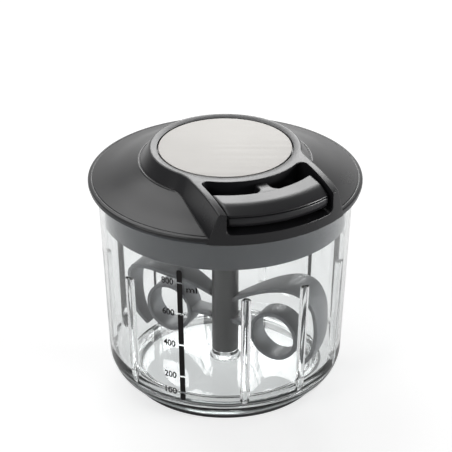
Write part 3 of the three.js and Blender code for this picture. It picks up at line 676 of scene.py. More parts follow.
def drawn_lines() -> bpy.types.NodeTree:
    """Fine parallel lines of brushing or rolling, with the odd deeper scratch.

    Returns:
        The node group.
    """
    effect = Effect("drawn_lines", {"Vector": ORIGIN, "Stretch": (40.0, 3000.0, 3000.0),
                                    "Roughness": 0.3, "Spread": 0.08})
    nodes, given = effect.nodes, effect.given
    stretched = {0: given["Vector"], 1: given["Stretch"]}
    along = nodes.add("ShaderNodeVectorMath", stretched, operation="MULTIPLY").outputs[0]
    fine, broad = nodes.noise(along, 1.0, 3.0, 0.7), nodes.noise(along, 0.12, 2.0)
    lines = nodes.plus(nodes.times(fine, 0.65), nodes.times(broad, 0.35))
    centred = nodes.centred(lines)
    return effect.give(Height=lines, Roughness=effect.roughness(centred, 3.0), Shade=centred)


def turned_lines() -> bpy.types.NodeTree:
    """Fine rings left by turning a piece about the upright axis through its centre.

    Returns:
        The node group.
    """
    effect = Effect("turned_lines", {"Vector": ORIGIN, "Pitch": 4000.0, "Roughness": 0.3, "Spread": 0.08})
    nodes, given = effect.nodes, effect.given
    parts = nodes.parts(given["Vector"])
    rings = {0: nodes.times(nodes.from_axis(parts), given["Pitch"]), 2: nodes.times(parts[2], given["Pitch"])}
    lines = nodes.noise(nodes.add("ShaderNodeCombineXYZ", rings).outputs[0], 1.0, 2.0, 0.6)
    patches = nodes.noise(given["Vector"], 120.0, 3.0)
    centred = nodes.centred(nodes.plus(nodes.times(lines, 0.6), nodes.times(patches, 0.4)))
    return effect.give(Height=lines, Roughness=effect.roughness(centred, 3.0), Shade=centred)


class Effects:
    """The shared effects, each made once."""

    def __init__(self) -> None:
        """Makes the node groups."""
        self.grain, self.tinted = mould_grain(), tinted()
        self.drawn, self.turned = drawn_lines(), turned_lines()


# --- Finishes ---


class Finish(Enum):
    """Every finish, by the name of its material."""

    BOWL = "clear_plastic"
    INK = "scale_ink"
    FOOT = "foot_rubber"
    STEEL = "turned_steel"
    INSERT = "insert_plastic"
    COLLAR = "collar_plastic"
    SEAL = "seal_rubber"
    COVER = "cover_plastic"
    DISC = "brushed_disc"
    BRASS = "turned_brass"
    DRUM = "drum_plastic"
    SPRING = "spring_strip"
    CORD = "braided_cord"


def shown(level: float) -> float:
    """Turns a level of a picture, 0 to 255, into the linear level that the shaders take."""
    share = level / 255
    return share / 12.92 if share <= 0.04045 else ((share + 0.055) / 1.055) ** 2.4


def tint(red: float, green: float, blue: float) -> Colour:
    """Turns picture levels, 0 to 255, into a linear colour."""
    return (shown(red), shown(green), shown(blue), 1.0)


class Coat:
    """A material in the making, with its shader, its output and the coordinates of its patterns."""

    def __init__(self, name: str, coordinates: str = "Object") -> None:
        """Makes the material with one Principled shader.

        Args:
            name: Name of the material.
            coordinates: The coordinates that its patterns read.
        """
        self.material = bpy.data.materials.new(name)
        self.material.use_nodes = True
        self.material.node_tree.nodes.clear()
        self.nodes = Nodes(self.material.node_tree)
        self.shader = self.nodes.add("ShaderNodeBsdfPrincipled")
        self.output = self.nodes.add("ShaderNodeOutputMaterial", {"Surface": self.shader.outputs[0]})
        self.place = self.nodes.add("ShaderNodeTexCoord").outputs[coordinates]

    def pattern(self, tree: bpy.types.NodeTree, **inputs: object) -> bpy.types.NodeOutputs:
        """Adds a shared pattern, read at the coat's own coordinates unless told, and returns its outputs."""
        return self.nodes.add("ShaderNodeGroup", {"Vector": self.place, **inputs}, node_tree=tree).outputs

    def tinted(self, effects: Effects, colour: object, shade_of: Socket, amount: float) -> Socket:
        """Adds a colour that a shade makes lighter or darker, and returns it."""
        inputs = {"Color": colour, "Shade": shade_of, "Amount": amount}
        return self.nodes.add("ShaderNodeGroup", inputs, node_tree=effects.tinted).outputs["Color"]

    def set(self, **sockets: object) -> None:
        """Sets or joins sockets of the shader; an underscore stands for a space."""
        for key, value in sockets.items():
            self.nodes.join(value, self.shader.inputs[key.replace("_", " ")])

    def show(self, shader: bpy.types.Node) -> None:
        """Shows another shader node on the surface."""
        self.nodes.join(shader.outputs[0], self.output.inputs["Surface"])

    def bump(self, height: Socket, depth: float, strength: float = 1.0, edge: float = 0.0) -> None:
        """Raises the surface, over edges that are rounded in the shading.

        Args:
            height: Height of the surface.
            depth: What a height of one stands for, in metres.
            strength: How strongly it shows.
            edge: Radius of the rounded edges in metres, zero for none.
        """
        inputs: dict[str | int, object] = {"Height": height, "Distance": depth, "Strength": strength}
        if edge > 0:
            inputs["Normal"] = self.nodes.add("ShaderNodeBevel", {"Radius": edge}, samples=6).outputs[0]
        self.set(Normal=self.nodes.add("ShaderNodeBump", inputs).outputs[0])


@dataclass(frozen=True)
class MouldedPlastic:
    """Moulded plastic with a fine matt grain; lengths are in metres."""

    name: str
    colour: Colour
    grain: float = 2400.0
    patches: float = 26.0
    roughness: float = 0.42
    spread: float = 0.05
    amount: float = 0.5
    depth: float = 0.00002
    strength: float = 0.6
    edge: float = 0.0005
    shine: float = 0.5
    bloom: float = 0.0

    def base(self, coat: Coat) -> object:
        """The colour before the grain shades it."""
        return self.colour

    def make(self, effects: Effects) -> bpy.types.Material:
        """Makes the material.

        Args:
            effects: The shared effects.

        Returns:
            The material.
        """
        coat = Coat(self.name)
        grain = coat.pattern(effects.grain, Grain=self.grain, Patches=self.patches,
                             Roughness=self.roughness, Spread=self.spread)
        colour = coat.tinted(effects, self.base(coat), grain["Shade"], self.amount)
        coat.set(Base_Color=colour, Roughness=grain["Roughness"], Specular_IOR_Level=self.shine,
                 Sheen_Weight=self.bloom)
        coat.bump(grain["Height"], self.depth, self.strength, self.edge)
        return coat.material


@dataclass(frozen=True)
class InsertPlastic(MouldedPlastic):
    """Grey moulded plastic, with painted shade that darkens the hub."""

    name: str = "insert_plastic"
    colour: Colour = tint(98, 100, 103)
    grain: float = 1900.0
    roughness: float = 0.4
    amount: float = 0.4
    strength: float = 0.5
    # Painted shade: the hub is the same grey plastic, coloured darker where it lies in shade under the lid.
    hub_painted_shade: Colour = tint(16, 16, 17)
    hub_shade_edge: Point2 = (0.0074, 0.009)

    def base(self, coat: Coat) -> object:
        """Painted shade: a darker colour near the axis, on the hub, and the wings' own colour outside.

        Args:
            coat: The material in the making.

        Returns:
            The mixed colour.
        """
        nodes = coat.nodes
        # Painted shade: the colour darkens towards the axis, over the hub.
        outside = nodes.spread(nodes.from_axis(nodes.parts(coat.place)), 0.0, 1.0, *self.hub_shade_edge)
        return nodes.mixed(outside, self.hub_painted_shade, self.colour)


@dataclass(frozen=True)
class SoftRubber(MouldedPlastic):
    """Soft matt rubber with a dusty bloom."""

    grain: float = 1500.0
    patches: float = 60.0
    roughness: float = 0.72
    spread: float = 0.08
    amount: float = 0.9
    depth: float = 0.00004
    strength: float = 0.7
    edge: float = 0.0
    bloom: float = 0.15


@dataclass(frozen=True)
class ScaleInk(MouldedPlastic):
    """Screen printed ink, a little uneven."""

    name: str = "scale_ink"
    colour: Colour = tint(27, 24, 24)
    grain: float = 6000.0
    patches: float = 200.0
    roughness: float = 0.5
    spread: float = 0.08
    amount: float = 0.8
    depth: float = 0.00001
    strength: float = 0.4
    edge: float = 0.0
    shine: float = 0.2


@dataclass(frozen=True)
class ClearPlastic:
    """Clear moulded plastic with faint flow marks; lamps shine through it."""

    name: str = "clear_plastic"
    colour: Colour = (0.93, 0.94, 0.94, 1.0)
    deep_colour: Colour = (0.1, 0.15, 0.15, 1.0)
    density: float = 13.0
    index: float = 1.49
    roughness: float = 0.015

    def make(self, effects: Effects) -> bpy.types.Material:
        """Makes the material.

        Args:
            effects: The shared effects.

        Returns:
            The material.
        """
        coat = Coat(self.name)
        nodes = coat.nodes
        grain = coat.pattern(effects.grain, Grain=40.0, Patches=14.0, Roughness=self.roughness, Spread=0.012)
        colour = coat.tinted(effects, self.colour, grain["Shade"], 0.06)
        coat.set(Base_Color=colour, Roughness=grain["Roughness"], IOR=self.index, Transmission_Weight=1.0)
        coat.bump(grain["Shade"], 0.0006, 0.02)
        path = nodes.add("ShaderNodeLightPath").outputs
        through = nodes.calc("MAXIMUM", path["Is Shadow Ray"], path["Is Diffuse Ray"])
        film = nodes.add("ShaderNodeBsdfTransparent", {"Color": self.colour}).outputs[0]
        coat.show(nodes.add("ShaderNodeMixShader", {0: through, 1: coat.shader.outputs[0], 2: film}))
        deep = nodes.add("ShaderNodeVolumeAbsorption", {"Color": self.deep_colour, "Density": self.density})
        nodes.join(deep.outputs[0], coat.output.inputs["Volume"])
        return coat.material


@dataclass(frozen=True)
class TurnedMetal:
    """Metal with the fine rings of turning; lengths are in metres."""

    name: str
    colour: Colour
    roughness: float = 0.28
    spread: float = 0.1
    amount: float = 0.5
    depth: float = 0.00001
    strength: float = 0.4
    edge: float = 0.0002
    pitch: float = 5200.0

    def marks(self, coat: Coat, effects: Effects) -> tuple[bpy.types.NodeOutputs, Socket]:
        """The marks of the tool, and the shade that goes with them."""
        lines = coat.pattern(effects.turned, Pitch=self.pitch, Roughness=self.roughness, Spread=self.spread)
        return lines, lines["Shade"]

    def make(self, effects: Effects) -> bpy.types.Material:
        """Makes the material.

        Args:
            effects: The shared effects.

        Returns:
            The material.
        """
        coat = Coat(self.name)
        lines, shade_of = self.marks(coat, effects)
        colour = coat.tinted(effects, self.colour, shade_of, self.amount)
        coat.set(Base_Color=colour, Roughness=lines["Roughness"], Metallic=1.0)
        coat.bump(lines["Height"], self.depth, self.strength, self.edge)
        return coat.material


@dataclass(frozen=True)
class DrawnMetal(TurnedMetal):
    """Metal with straight lines, drawn in one direction, and patches of colour."""

    stretch: Point3 = (60.0, 60.0, 4200.0)
    turn_deg: float = 0.0
    patches: float = 90.0
    patch_share: float = 2.0

    def marks(self, coat: Coat, effects: Effects) -> tuple[bpy.types.NodeOutputs, Socket]:
        """The drawn lines, and their shade with that of the patches.

        Args:
            coat: The material in the making.
            effects: The shared effects.

        Returns:
            The lines' outputs and the shade.
        """
        place = coat.place
        if self.turn_deg:
            turned = {"Vector": place, "Rotation": (0.0, 0.0, math.radians(self.turn_deg))}
            place = coat.nodes.add("ShaderNodeMapping", turned).outputs[0]
        lines = coat.pattern(effects.drawn, Vector=place, Stretch=self.stretch, Roughness=self.roughness,
                             Spread=self.spread)
        patches = coat.pattern(effects.grain, Patches=self.patches)
        return lines, coat.nodes.plus(lines["Shade"], coat.nodes.times(patches["Shade"], self.patch_share))


@dataclass(frozen=True)
class SpringStrip(DrawnMetal):
    """Rolled spring strip, blued, with lines along the strip."""

    name: str = "spring_strip"
    colour: Colour = (0.14, 0.165, 0.21, 1.0)
    roughness: float = 0.34
    amount: float = 0.8
    edge: float = 0.0


@dataclass(frozen=True)
class BrushedSteel(DrawnMetal):
    """Steel sheet brushed in one direction."""

    name: str = "brushed_disc"
    colour: Colour = (0.46, 0.45, 0.435, 1.0)
    roughness: float = 0.6
    spread: float = 0.08
    amount: float = 0.22
    depth: float = 0.000008
    strength: float = 0.35
    edge: float = 0.0003
    stretch: Point3 = (25.0, 2600.0, 2600.0)
    turn_deg: float = 24.0
    patches: float = 34.0
    patch_share: float = 1.0


@dataclass(frozen=True)
class BraidedCord:
    """Thin braided cord; its strands cross on the cord's own length and turn, with painted shade in the
    valleys between them.
    """

    name: str = "braided_cord"
    colour: Colour = (0.021, 0.021, 0.023, 1.0)
    # Painted shade: the strands' crowns take the lighter colour, the valleys between them the darker one.
    light: Colour = (0.075, 0.076, 0.08, 1.0)
    strands: int = 4

    def make(self, effects: Effects) -> bpy.types.Material:
        """Makes the material.

        Args:
            effects: The shared effects.

        Returns:
            The material.
        """
        coat = Coat(self.name, "UV")
        nodes = coat.nodes
        parts = nodes.parts(coat.place)
        left, right = (
            nodes.calc("SINE", nodes.times(nodes.calc(how, parts[0], parts[1]), TAU * self.strands))
            for how in ("ADD", "SUBTRACT"))
        height = nodes.spread(nodes.calc("MAXIMUM", left, right), 0.0, 1.0, -1.0, 1.0)
        # Painted shade: the colour darkens from the crowns into the valleys, by the same height that raises
        # the strands.
        coat.set(Base_Color=nodes.mixed(height, self.colour, self.light),
                 Roughness=nodes.spread(height, 0.95, 0.7), Sheen_Weight=0.3)
        coat.bump(height, 0.00018, 0.8)
        return coat.material


class Bench:
    """The finishes at hand, and the last step of every piece."""

    def __init__(self) -> None:
        """Makes every material."""
        effects = Effects()
        makers = {
            Finish.BOWL: ClearPlastic(),
            Finish.INK: ScaleInk(),
            Finish.FOOT: SoftRubber("foot_rubber", tint(34, 34, 36)),
            Finish.STEEL: TurnedMetal("turned_steel", (0.56, 0.565, 0.57, 1.0)),
            Finish.INSERT: InsertPlastic(),
            Finish.COLLAR: MouldedPlastic("collar_plastic", tint(62, 65, 69), roughness=0.34,
                                          depth=0.000012, shine=0.45),
            Finish.SEAL: SoftRubber("seal_rubber", tint(150, 151, 153)),
            Finish.COVER: MouldedPlastic("cover_plastic", tint(31, 31, 33), roughness=0.3),
            Finish.DISC: BrushedSteel(),
            Finish.BRASS: TurnedMetal("turned_brass", (0.62, 0.45, 0.2, 1.0), roughness=0.3),
            Finish.DRUM: MouldedPlastic("drum_plastic", tint(214, 213, 206), roughness=0.4, amount=0.2),
            Finish.SPRING: SpringStrip(),
            Finish.CORD: BraidedCord(),
        }
        self.finishes = {finish: maker.make(effects) for finish, maker in makers.items()}

    def hold(self, piece: Piece, body: Body, finish: Finish, *nodes: str) -> None:
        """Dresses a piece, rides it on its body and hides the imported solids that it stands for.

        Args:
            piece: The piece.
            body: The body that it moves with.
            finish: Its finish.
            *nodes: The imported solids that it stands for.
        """
        piece.data.materials.clear()
        piece.data.materials.append(self.finishes[finish])
        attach(piece, body.value)
        self.settle(piece, finish, nodes)

    def settle(self, piece: Piece, finish: Finish, nodes: Sequence[str]) -> None:
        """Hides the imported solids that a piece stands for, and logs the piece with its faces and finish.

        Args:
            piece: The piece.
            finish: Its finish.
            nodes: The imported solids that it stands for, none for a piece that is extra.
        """
        if nodes:
            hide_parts(*nodes)
        log.info("%s: %d faces, %s", piece.name, len(piece.data.polygons), finish.value)


# --- Small parts ---


def turned_ring(name: str, r: Point2, z: Point2, ease: float) -> Piece:
    """Turns a plain ring with rounded edges, between two radii and two heights."""
    return spun(name, box_outline(r, z, ease), 96)


@dataclass(frozen=True)
class Screw:
    """A screw with a cross slot in its head and rings on its shank, in millimetres."""

    shank_r: float
    head_r: float
    seat: float
    head: float
    length: float
    pitch: float = 0.9
    root_share: float = 0.8
    plain: float = 0.8
    slot_half: float = 0.35
    slot_reach: float = 0.6

    def make(self, name: str, place: Point2 = (0, 0)) -> Piece:
        """Makes the screw, with its head above the seat or, where its height is negative, below it.

        Args:
            name: Name of the piece.
            place: Where its middle lies.

        Returns:
            The piece.
        """
        way = math.copysign(1, self.head)
        outer, tip = self.seat + self.head, self.seat - way * self.length
        root_r, plain = self.shank_r * self.root_share, self.plain
        corners = [(0, outer, 0), (self.head_r, outer, abs(self.head) * 0.5), (self.head_r, self.seat, 0.15),
                   (root_r, self.seat, 0)]
        for k in range(int((self.length - 3 * plain) / self.pitch)):
            root = self.seat - way * (plain + k * self.pitch)
            corners += [(root_r, root, 0), (self.shank_r, root - way * self.pitch * 0.45, 0),
                        (root_r, root - way * self.pitch * 0.9, 0)]
        corners += [(root_r, tip + way * plain, 0), (self.shank_r * 0.25, tip, 0), (0, tip, 0)]
        piece = spun(name, eased(corners, steps=5), 48)
        arm, half = self.head_r * self.slot_reach, self.slot_half
        corner, cross = [(arm, half), (half, half), (half, arm)], []
        for _ in range(4):
            cross += corner
            corner = [(-y, x) for x, y in corner]
        combine(piece, Join.CUT, extruded("slot", cross, *sorted((outer - self.head / 2, outer + way))))
        return finish_mesh(remade(moved(piece, by=(*place, 0))), name)


# --- The vessel ---


@dataclass
class Vessel:
    """The clear bowl with its ribs, printed scale, foot ring and pivot pin, in millimetres."""

    rim_r: float = 64.2
    rim_z: float = 108.8
    rim_low: float = 104.0
    rim_ease: float = 0.8
    taper_deg: float = 2.56
    wall: float = 2.2
    base_z: float = 2.0
    corner_r: float = 15.0
    inner_corner_r: float = 13.0
    floor_z: float = 8.9
    floor_thick: float = 2.5
    boss: Point3 = (6.5, 7.5, 12.9)
    bore: Point2 = (3.3, 9.6)
    groove: Point3 = (46.0, 50.5, 4.6)
    rib_r: float = 2.3
    rib_inset: float = 0.4
    rib_top: float = 76.0
    rib_fade: float = 0.9
    rib_places: tuple[int, ...] = tuple(15 + 30 * i for i in range(12) if 15 + 30 * i != 315)
    sectors: tuple[tuple[float, int], ...] = ((12.2, 8), (5.6, 22), (12.2, 8))
    wall_heights: tuple[float, ...] = (26, 40, 55, 68)
    rib_steps: tuple[float, ...] = (1.6, 1.1, 0.7, 0.4, 0.2, 0, -0.6)
    band_z: float = 92.0
    floor_reach: float = 40.0
    scale_deg: float = -45.0
    bar: Point3 = (1.4, 15.4, 91.0)
    bar_ease: Point2 = (1.2, 0.1)
    marks: tuple[tuple[str, float], ...] = (
        ("100", 19.6), ("200", 29.2), ("400", 47.9), ("600", 66.1), ("800", 83.8))
    mark_gap: float = 0.9
    digit: Point2 = (6.5, 3.7)
    digit_gap: float = 1.8
    unit: tuple[str, float, float, float, float] = ("ml", 5.5, 3.4, 2.0, 81.0)
    sign_weight: float = 0.11
    ink: float = 0.05
    ink_lift: float = 0.04
    foot_ring: tuple[Point3, ...] = (
        (46.3, 0.4, 0.2), (46.7, 0, 0.2), (49.8, 0, 0.2), (50.2, 0.4, 0.2), (50.2, 4.3, 0.4),
        (46.3, 4.3, 0.4),
    )
    pin: tuple[Point3, ...] = ((0, 9.9, 0), (3, 9.9, 0.3), (3, 25.7, 0.3), (1.8, 26.9, 0.5), (0, 26.9, 0))

    def outer(self, z: float) -> float:
        """Outside radius at a height."""
        return self.rim_r - (self.rim_z - z) * math.tan(math.radians(self.taper_deg))

    def inner(self, z: float) -> float:
        """Inside radius at a height."""
        return self.outer(z) - self.wall

    def profile(self) -> list[Point2]:
        """Outline of the bowl, from the axis over the floor and the rim and back under the foot.

        Returns:
            The outline's points.
        """
        taper, quarter, top = math.radians(self.taper_deg), math.pi / 2, self.rib_top
        low, high = self.base_z + self.corner_r, self.floor_z + self.inner_corner_r
        out_r, in_r = self.corner_r, self.inner_corner_r
        outside = arc((self.outer(low) - out_r, low), out_r, -taper, -quarter, 14)
        inside = arc((self.inner(high) - in_r, high), in_r, -quarter, -taper, 16)
        near_top = (top - step for step in (self.rib_r, *self.rib_steps))
        heights = (*self.wall_heights, *near_top, self.band_z)
        wall = [(self.inner(z), z) for z in heights]
        rim_low, rim_z, ease = self.rim_low, self.rim_z, self.rim_ease
        rim = eased([(self.inner(rim_low), rim_low, 0), (self.inner(rim_z), rim_z, ease),
                     (self.outer(rim_z), rim_z, ease), (self.outer(rim_low), rim_low, 0)], steps=5)
        groove_in, groove_out, groove_top = self.groove
        foot_r, roof = groove_in - self.wall, self.floor_z - self.floor_thick
        under = eased([
            (outside[-1][0], self.base_z, 0), (groove_out, self.base_z, 0.3), (groove_out, groove_top, 0.4),
            (groove_in, groove_top, 0.4), (groove_in, self.base_z, 0.3), (foot_r, self.base_z, 0.3),
            (foot_r, roof, 0.8), (0, roof, 0),
        ], steps=3)
        (top_r, foot_of_boss, boss_z), (bore_r, bore_z) = self.boss, self.bore
        middle = eased([
            (0, bore_z, 0), (bore_r, bore_z, 0), (bore_r, boss_z, 0.3), (top_r, boss_z, 0.6),
            (foot_of_boss, self.floor_z, 1.2), (inside[0][0], self.floor_z, 0),
        ], steps=3)
        return middle[:-1] + inside + wall + rim + outside + under[1:]

    def rib_spot(self, x: float, along: float, z: float) -> float:
        """How far along a point of the inner wall moves where a rib stands.

        Args:
            x: Distance beside the rib's middle.
            along: The point's distance from the axis along the rib's direction.
            z: Its height.

        Returns:
            The new distance along.
        """
        top = self.rib_top - self.rib_r
        room = self.rib_r ** 2 - x ** 2 - max(0.0, z - top) ** 2
        if room <= 0 or z < self.floor_z + 1:
            return along
        fade = min(1.0, room / self.rib_fade)
        rise = (self.rib_inset + math.sqrt(room)) * fade * (2 - fade)
        return min(along, self.inner(z) - rise)

    def bowl(self) -> Piece:
        """Turns the bowl in unequal steps, fine where the ribs stand, and raises the ribs.

        Returns:
            The piece.
        """
        bm = bmesh.new()
        verts = [bm.verts.new((0, -r * MM, z * MM)) for r, z in self.profile()]
        last: list[bmesh.types.BMElemSeq] = verts + [bm.edges.new(pair) for pair in zip(verts, verts[1:])]
        for degrees, steps in self.sectors * 12:
            last = bmesh.ops.spin(bm, geom=last, cent=(0, 0, 0), axis=(0, 0, 1), angle=math.radians(degrees),
                                  steps=steps, use_merge=False, use_duplicate=False)["geom_last"]
        bmesh.ops.remove_doubles(bm, verts=bm.verts, dist=5e-6)
        for vert in bm.verts:
            x, y, z = vert.co / MM
            from_axis = math.hypot(x, y)
            if from_axis > self.inner(z) + 0.01 or from_axis < self.floor_reach or z > self.rib_top:
                continue
            for place in self.rib_places:
                sine, cosine = math.sin(math.radians(place)), math.cos(math.radians(place))
                side = x * cosine + y * sine
                along = x * sine - y * cosine
                if along > 0 and abs(side) < self.rib_r:
                    along = self.rib_spot(side, along, z)
                    vert.co = Vector((side * cosine + along * sine, side * sine - along * cosine, z)) * MM
        return finish_mesh(bm, "bowl_clear", 40)

    def on_wall(self, piece: Piece, lift: float) -> Piece:
        """Bends a flat piece, whose X runs right and Y up in millimetres, onto the outside wall.

        Args:
            piece: The flat piece, its face towards +Z.
            lift: Height of its lowest face over the wall in millimetres.

        Returns:
            The piece.
        """
        with edited(piece) as bm:
            for vert in bm.verts:
                right, up, out = vert.co
                radius = self.outer(up) + lift + out
                turn = math.radians(self.scale_deg) + right / self.outer(up)
                vert.co = Vector((radius * math.sin(turn), -radius * math.cos(turn), up)) * MM
            bmesh.ops.recalc_face_normals(bm, faces=bm.faces)
        return piece

    def signs(self, text: str, width: float, height: float, right: float, middle: float) -> Piece:
        """Makes plain printed signs, lying flat.

        Args:
            text: The signs.
            width: Their width.
            height: Height of the tallest sign.
            right: Where they end on the right.
            middle: Height of their middle.

        Returns:
            The flat piece.
        """
        curve = bpy.data.curves.new("signs", "FONT")
        curve.body, curve.size, curve.resolution_u = text, 5.0, 6
        curve.extrude, curve.offset = self.ink / 2, self.sign_weight
        source = bpy.data.objects.new("signs", curve)
        bpy.context.scene.collection.objects.link(source)
        mesh = bpy.data.meshes.new_from_object(source.evaluated_get(bpy.context.evaluated_depsgraph_get()))
        bpy.data.objects.remove(source)
        bm = bmesh.new()
        bm.from_mesh(mesh)
        bmesh.ops.remove_doubles(bm, verts=bm.verts, dist=1e-4)
        spans = [(min(v.co[k] for v in bm.verts), max(v.co[k] for v in bm.verts)) for k in range(2)]
        across, up = width / (spans[0][1] - spans[0][0]), height / (spans[1][1] - spans[1][0])
        for vert in bm.verts:
            vert.co.x = right - (spans[0][1] - vert.co.x) * across
            vert.co.y = middle + (vert.co.y - (spans[1][0] + spans[1][1]) / 2) * up
            vert.co.z += self.ink / 2
        return placed("signs", bm)

    def scale(self) -> Piece:
        """Prints the filling scale: the bar, broken at each mark, the numbers and the unit.

        Returns:
            The piece.
        """
        half, low, high = self.bar
        round_end, plain_end = self.bar_ease
        ends = [low] + [z + side * self.mark_gap / 2 for _, z in self.marks for side in (-1, 1)] + [high]
        parts = []
        for i in range(0, len(ends), 2):
            bottom, top = ends[i], ends[i + 1]
            first = round_end if i == 0 else plain_end
            last = round_end if i == len(ends) - 2 else plain_end
            outline = eased([(-half, bottom, first), (half, bottom, first), (half, top, last),
                             (-half, top, last)], closed=True, steps=6)
            parts.append(placed("bar", raised_face([Vector((x, y, 0)) for x, y in outline], self.ink)))
        parts += [self.signs(text, *self.digit, -half - self.digit_gap, z) for text, z in self.marks]
        text, width, height, gap, middle = self.unit
        parts.append(self.signs(text, width, height, half + gap + width, middle))
        return shade(self.on_wall(merged("filling_scale", parts), self.ink_lift), 30)

    def build(self, bench: Bench) -> None:
        """Builds and dresses the vessel.

        Args:
            bench: The finishes at hand.
        """
        bench.hold(self.bowl(), Body.VESSEL, Finish.BOWL, "bowl")
        bench.hold(self.scale(), Body.VESSEL, Finish.INK)
        ring = spun("foot_ring_soft", eased(self.foot_ring, closed=True, steps=3), 180)
        bench.hold(ring, Body.VESSEL, Finish.FOOT, "foot_ring")
        pin = spun("pivot_pin_turned", eased(self.pin), 48)
        bench.hold(pin, Body.VESSEL, Finish.STEEL, "pivot_pin")


# --- The mixing insert ---


@dataclass
class MixingInsert:
    """The hub with two hooks and two ring loops on level arms, in millimetres.

    A station of a hook is its share of the reach and of the height, and its share of the ribbon's
    near and far width.
    """

    hub_r: float = 6.85
    hub: Point2 = (13.2, 90.0)
    bore: Point2 = (3.3, 27.9)
    socket: Point2 = (7.0, 74.0)
    overrun: float = 3.0
    wing_deg: float = 36.3
    reach: float = 53.6
    heights: Point2 = (15.5, 58.6)
    near: float = 3.6
    far: float = 16.0
    thick: float = 2.2
    loop: Point2 = (30.6, 30.8)
    loop_r: Point2 = (11.3, 13.4)
    loop_half: float = 5.8
    arm: Point3 = (4.6, 33.8, 2.6)
    ease: float = 0.5
    stations: tuple[tuple[float, float, float, float], ...] = (
        (0.09, 0.68, 1, 0.22), (0.29, 0.83, 1, 0.5), (0.49, 0.94, 0.95, 0.84), (0.69, 1, 0.9, 1),
        (0.85, 0.96, 0.85, 0.97), (0.96, 0.82, 0.83, 0.78), (1, 0.62, 0.83, 0.6), (1, 0.39, 0.8, 0.5),
        (0.95, 0.17, 0.65, 0.38), (0.86, 0, 0.4, 0.22),
    )

    def hook(self) -> Piece:
        """Skins one hook: a ribbon that leaves the hub, bends over and runs down beside the wall.

        Returns:
            The piece.
        """
        run = smooth_run(self.stations, 7)
        low, high = self.heights
        path = [Vector((share[0] * self.reach, low + (high - low) * share[1])) for share in run]
        loops = []
        for i, share in enumerate(run):
            way = way_at(path, i)
            inward = Vector((way.y, -way.x))
            section = box_outline((-share[2] * self.near, share[3] * self.far), (0, self.thick), self.ease)
            spots = [(x, path[i] + inward * depth) for x, depth in section]
            loops.append([Vector((x, -spot.x, spot.y)) for x, spot in spots])
        return lofted("hook", loops)

    def ring_loop(self) -> Piece:
        """Turns one ring loop and lays its axis level, square to the wing."""
        ring = turned_ring("ring_loop", self.loop_r, (-self.loop_half, self.loop_half), self.ease)
        return moved(ring, 90, "Y", (0, -self.loop[0], self.loop[1]))

    def level_arm(self) -> Piece:
        """Makes one level arm between hub and loop.

        Returns:
            The piece.
        """
        half, top, thick = self.arm
        inner_r, outer_r = self.loop_r
        reach = (self.hub_r / 2, self.loop[0] - (inner_r + outer_r) / 2)
        return eased_block("arm", (-half, half), reach, (top - thick, top), self.ease)

    def build(self, bench: Bench) -> None:
        """Builds and dresses the insert.

        Args:
            bench: The finishes at hand.
        """
        low, high = self.hub
        hub = disc_outline(self.hub_r, self.hub, (0.5, 0.8), 4)
        piece = spun("mixing_insert_moulded", hub, 72)
        for turn in (self.wing_deg, self.wing_deg + 180):
            combine(piece, Join.UNION, *(moved(part, turn) for part in
                                         (self.hook(), self.ring_loop(), self.level_arm())))
        across, floor = self.socket
        corner_r = across / 2 / math.cos(math.pi / 6)
        combine(piece, Join.CUT, rod("bore", self.bore[0], low - self.overrun, self.bore[1]),
                rod("socket", corner_r, floor, high + self.overrun, steps=6))
        bench.hold(shade(piece, 35), Body.INSERT, Finish.INSERT, "mixing_insert")


# --- The lid ---


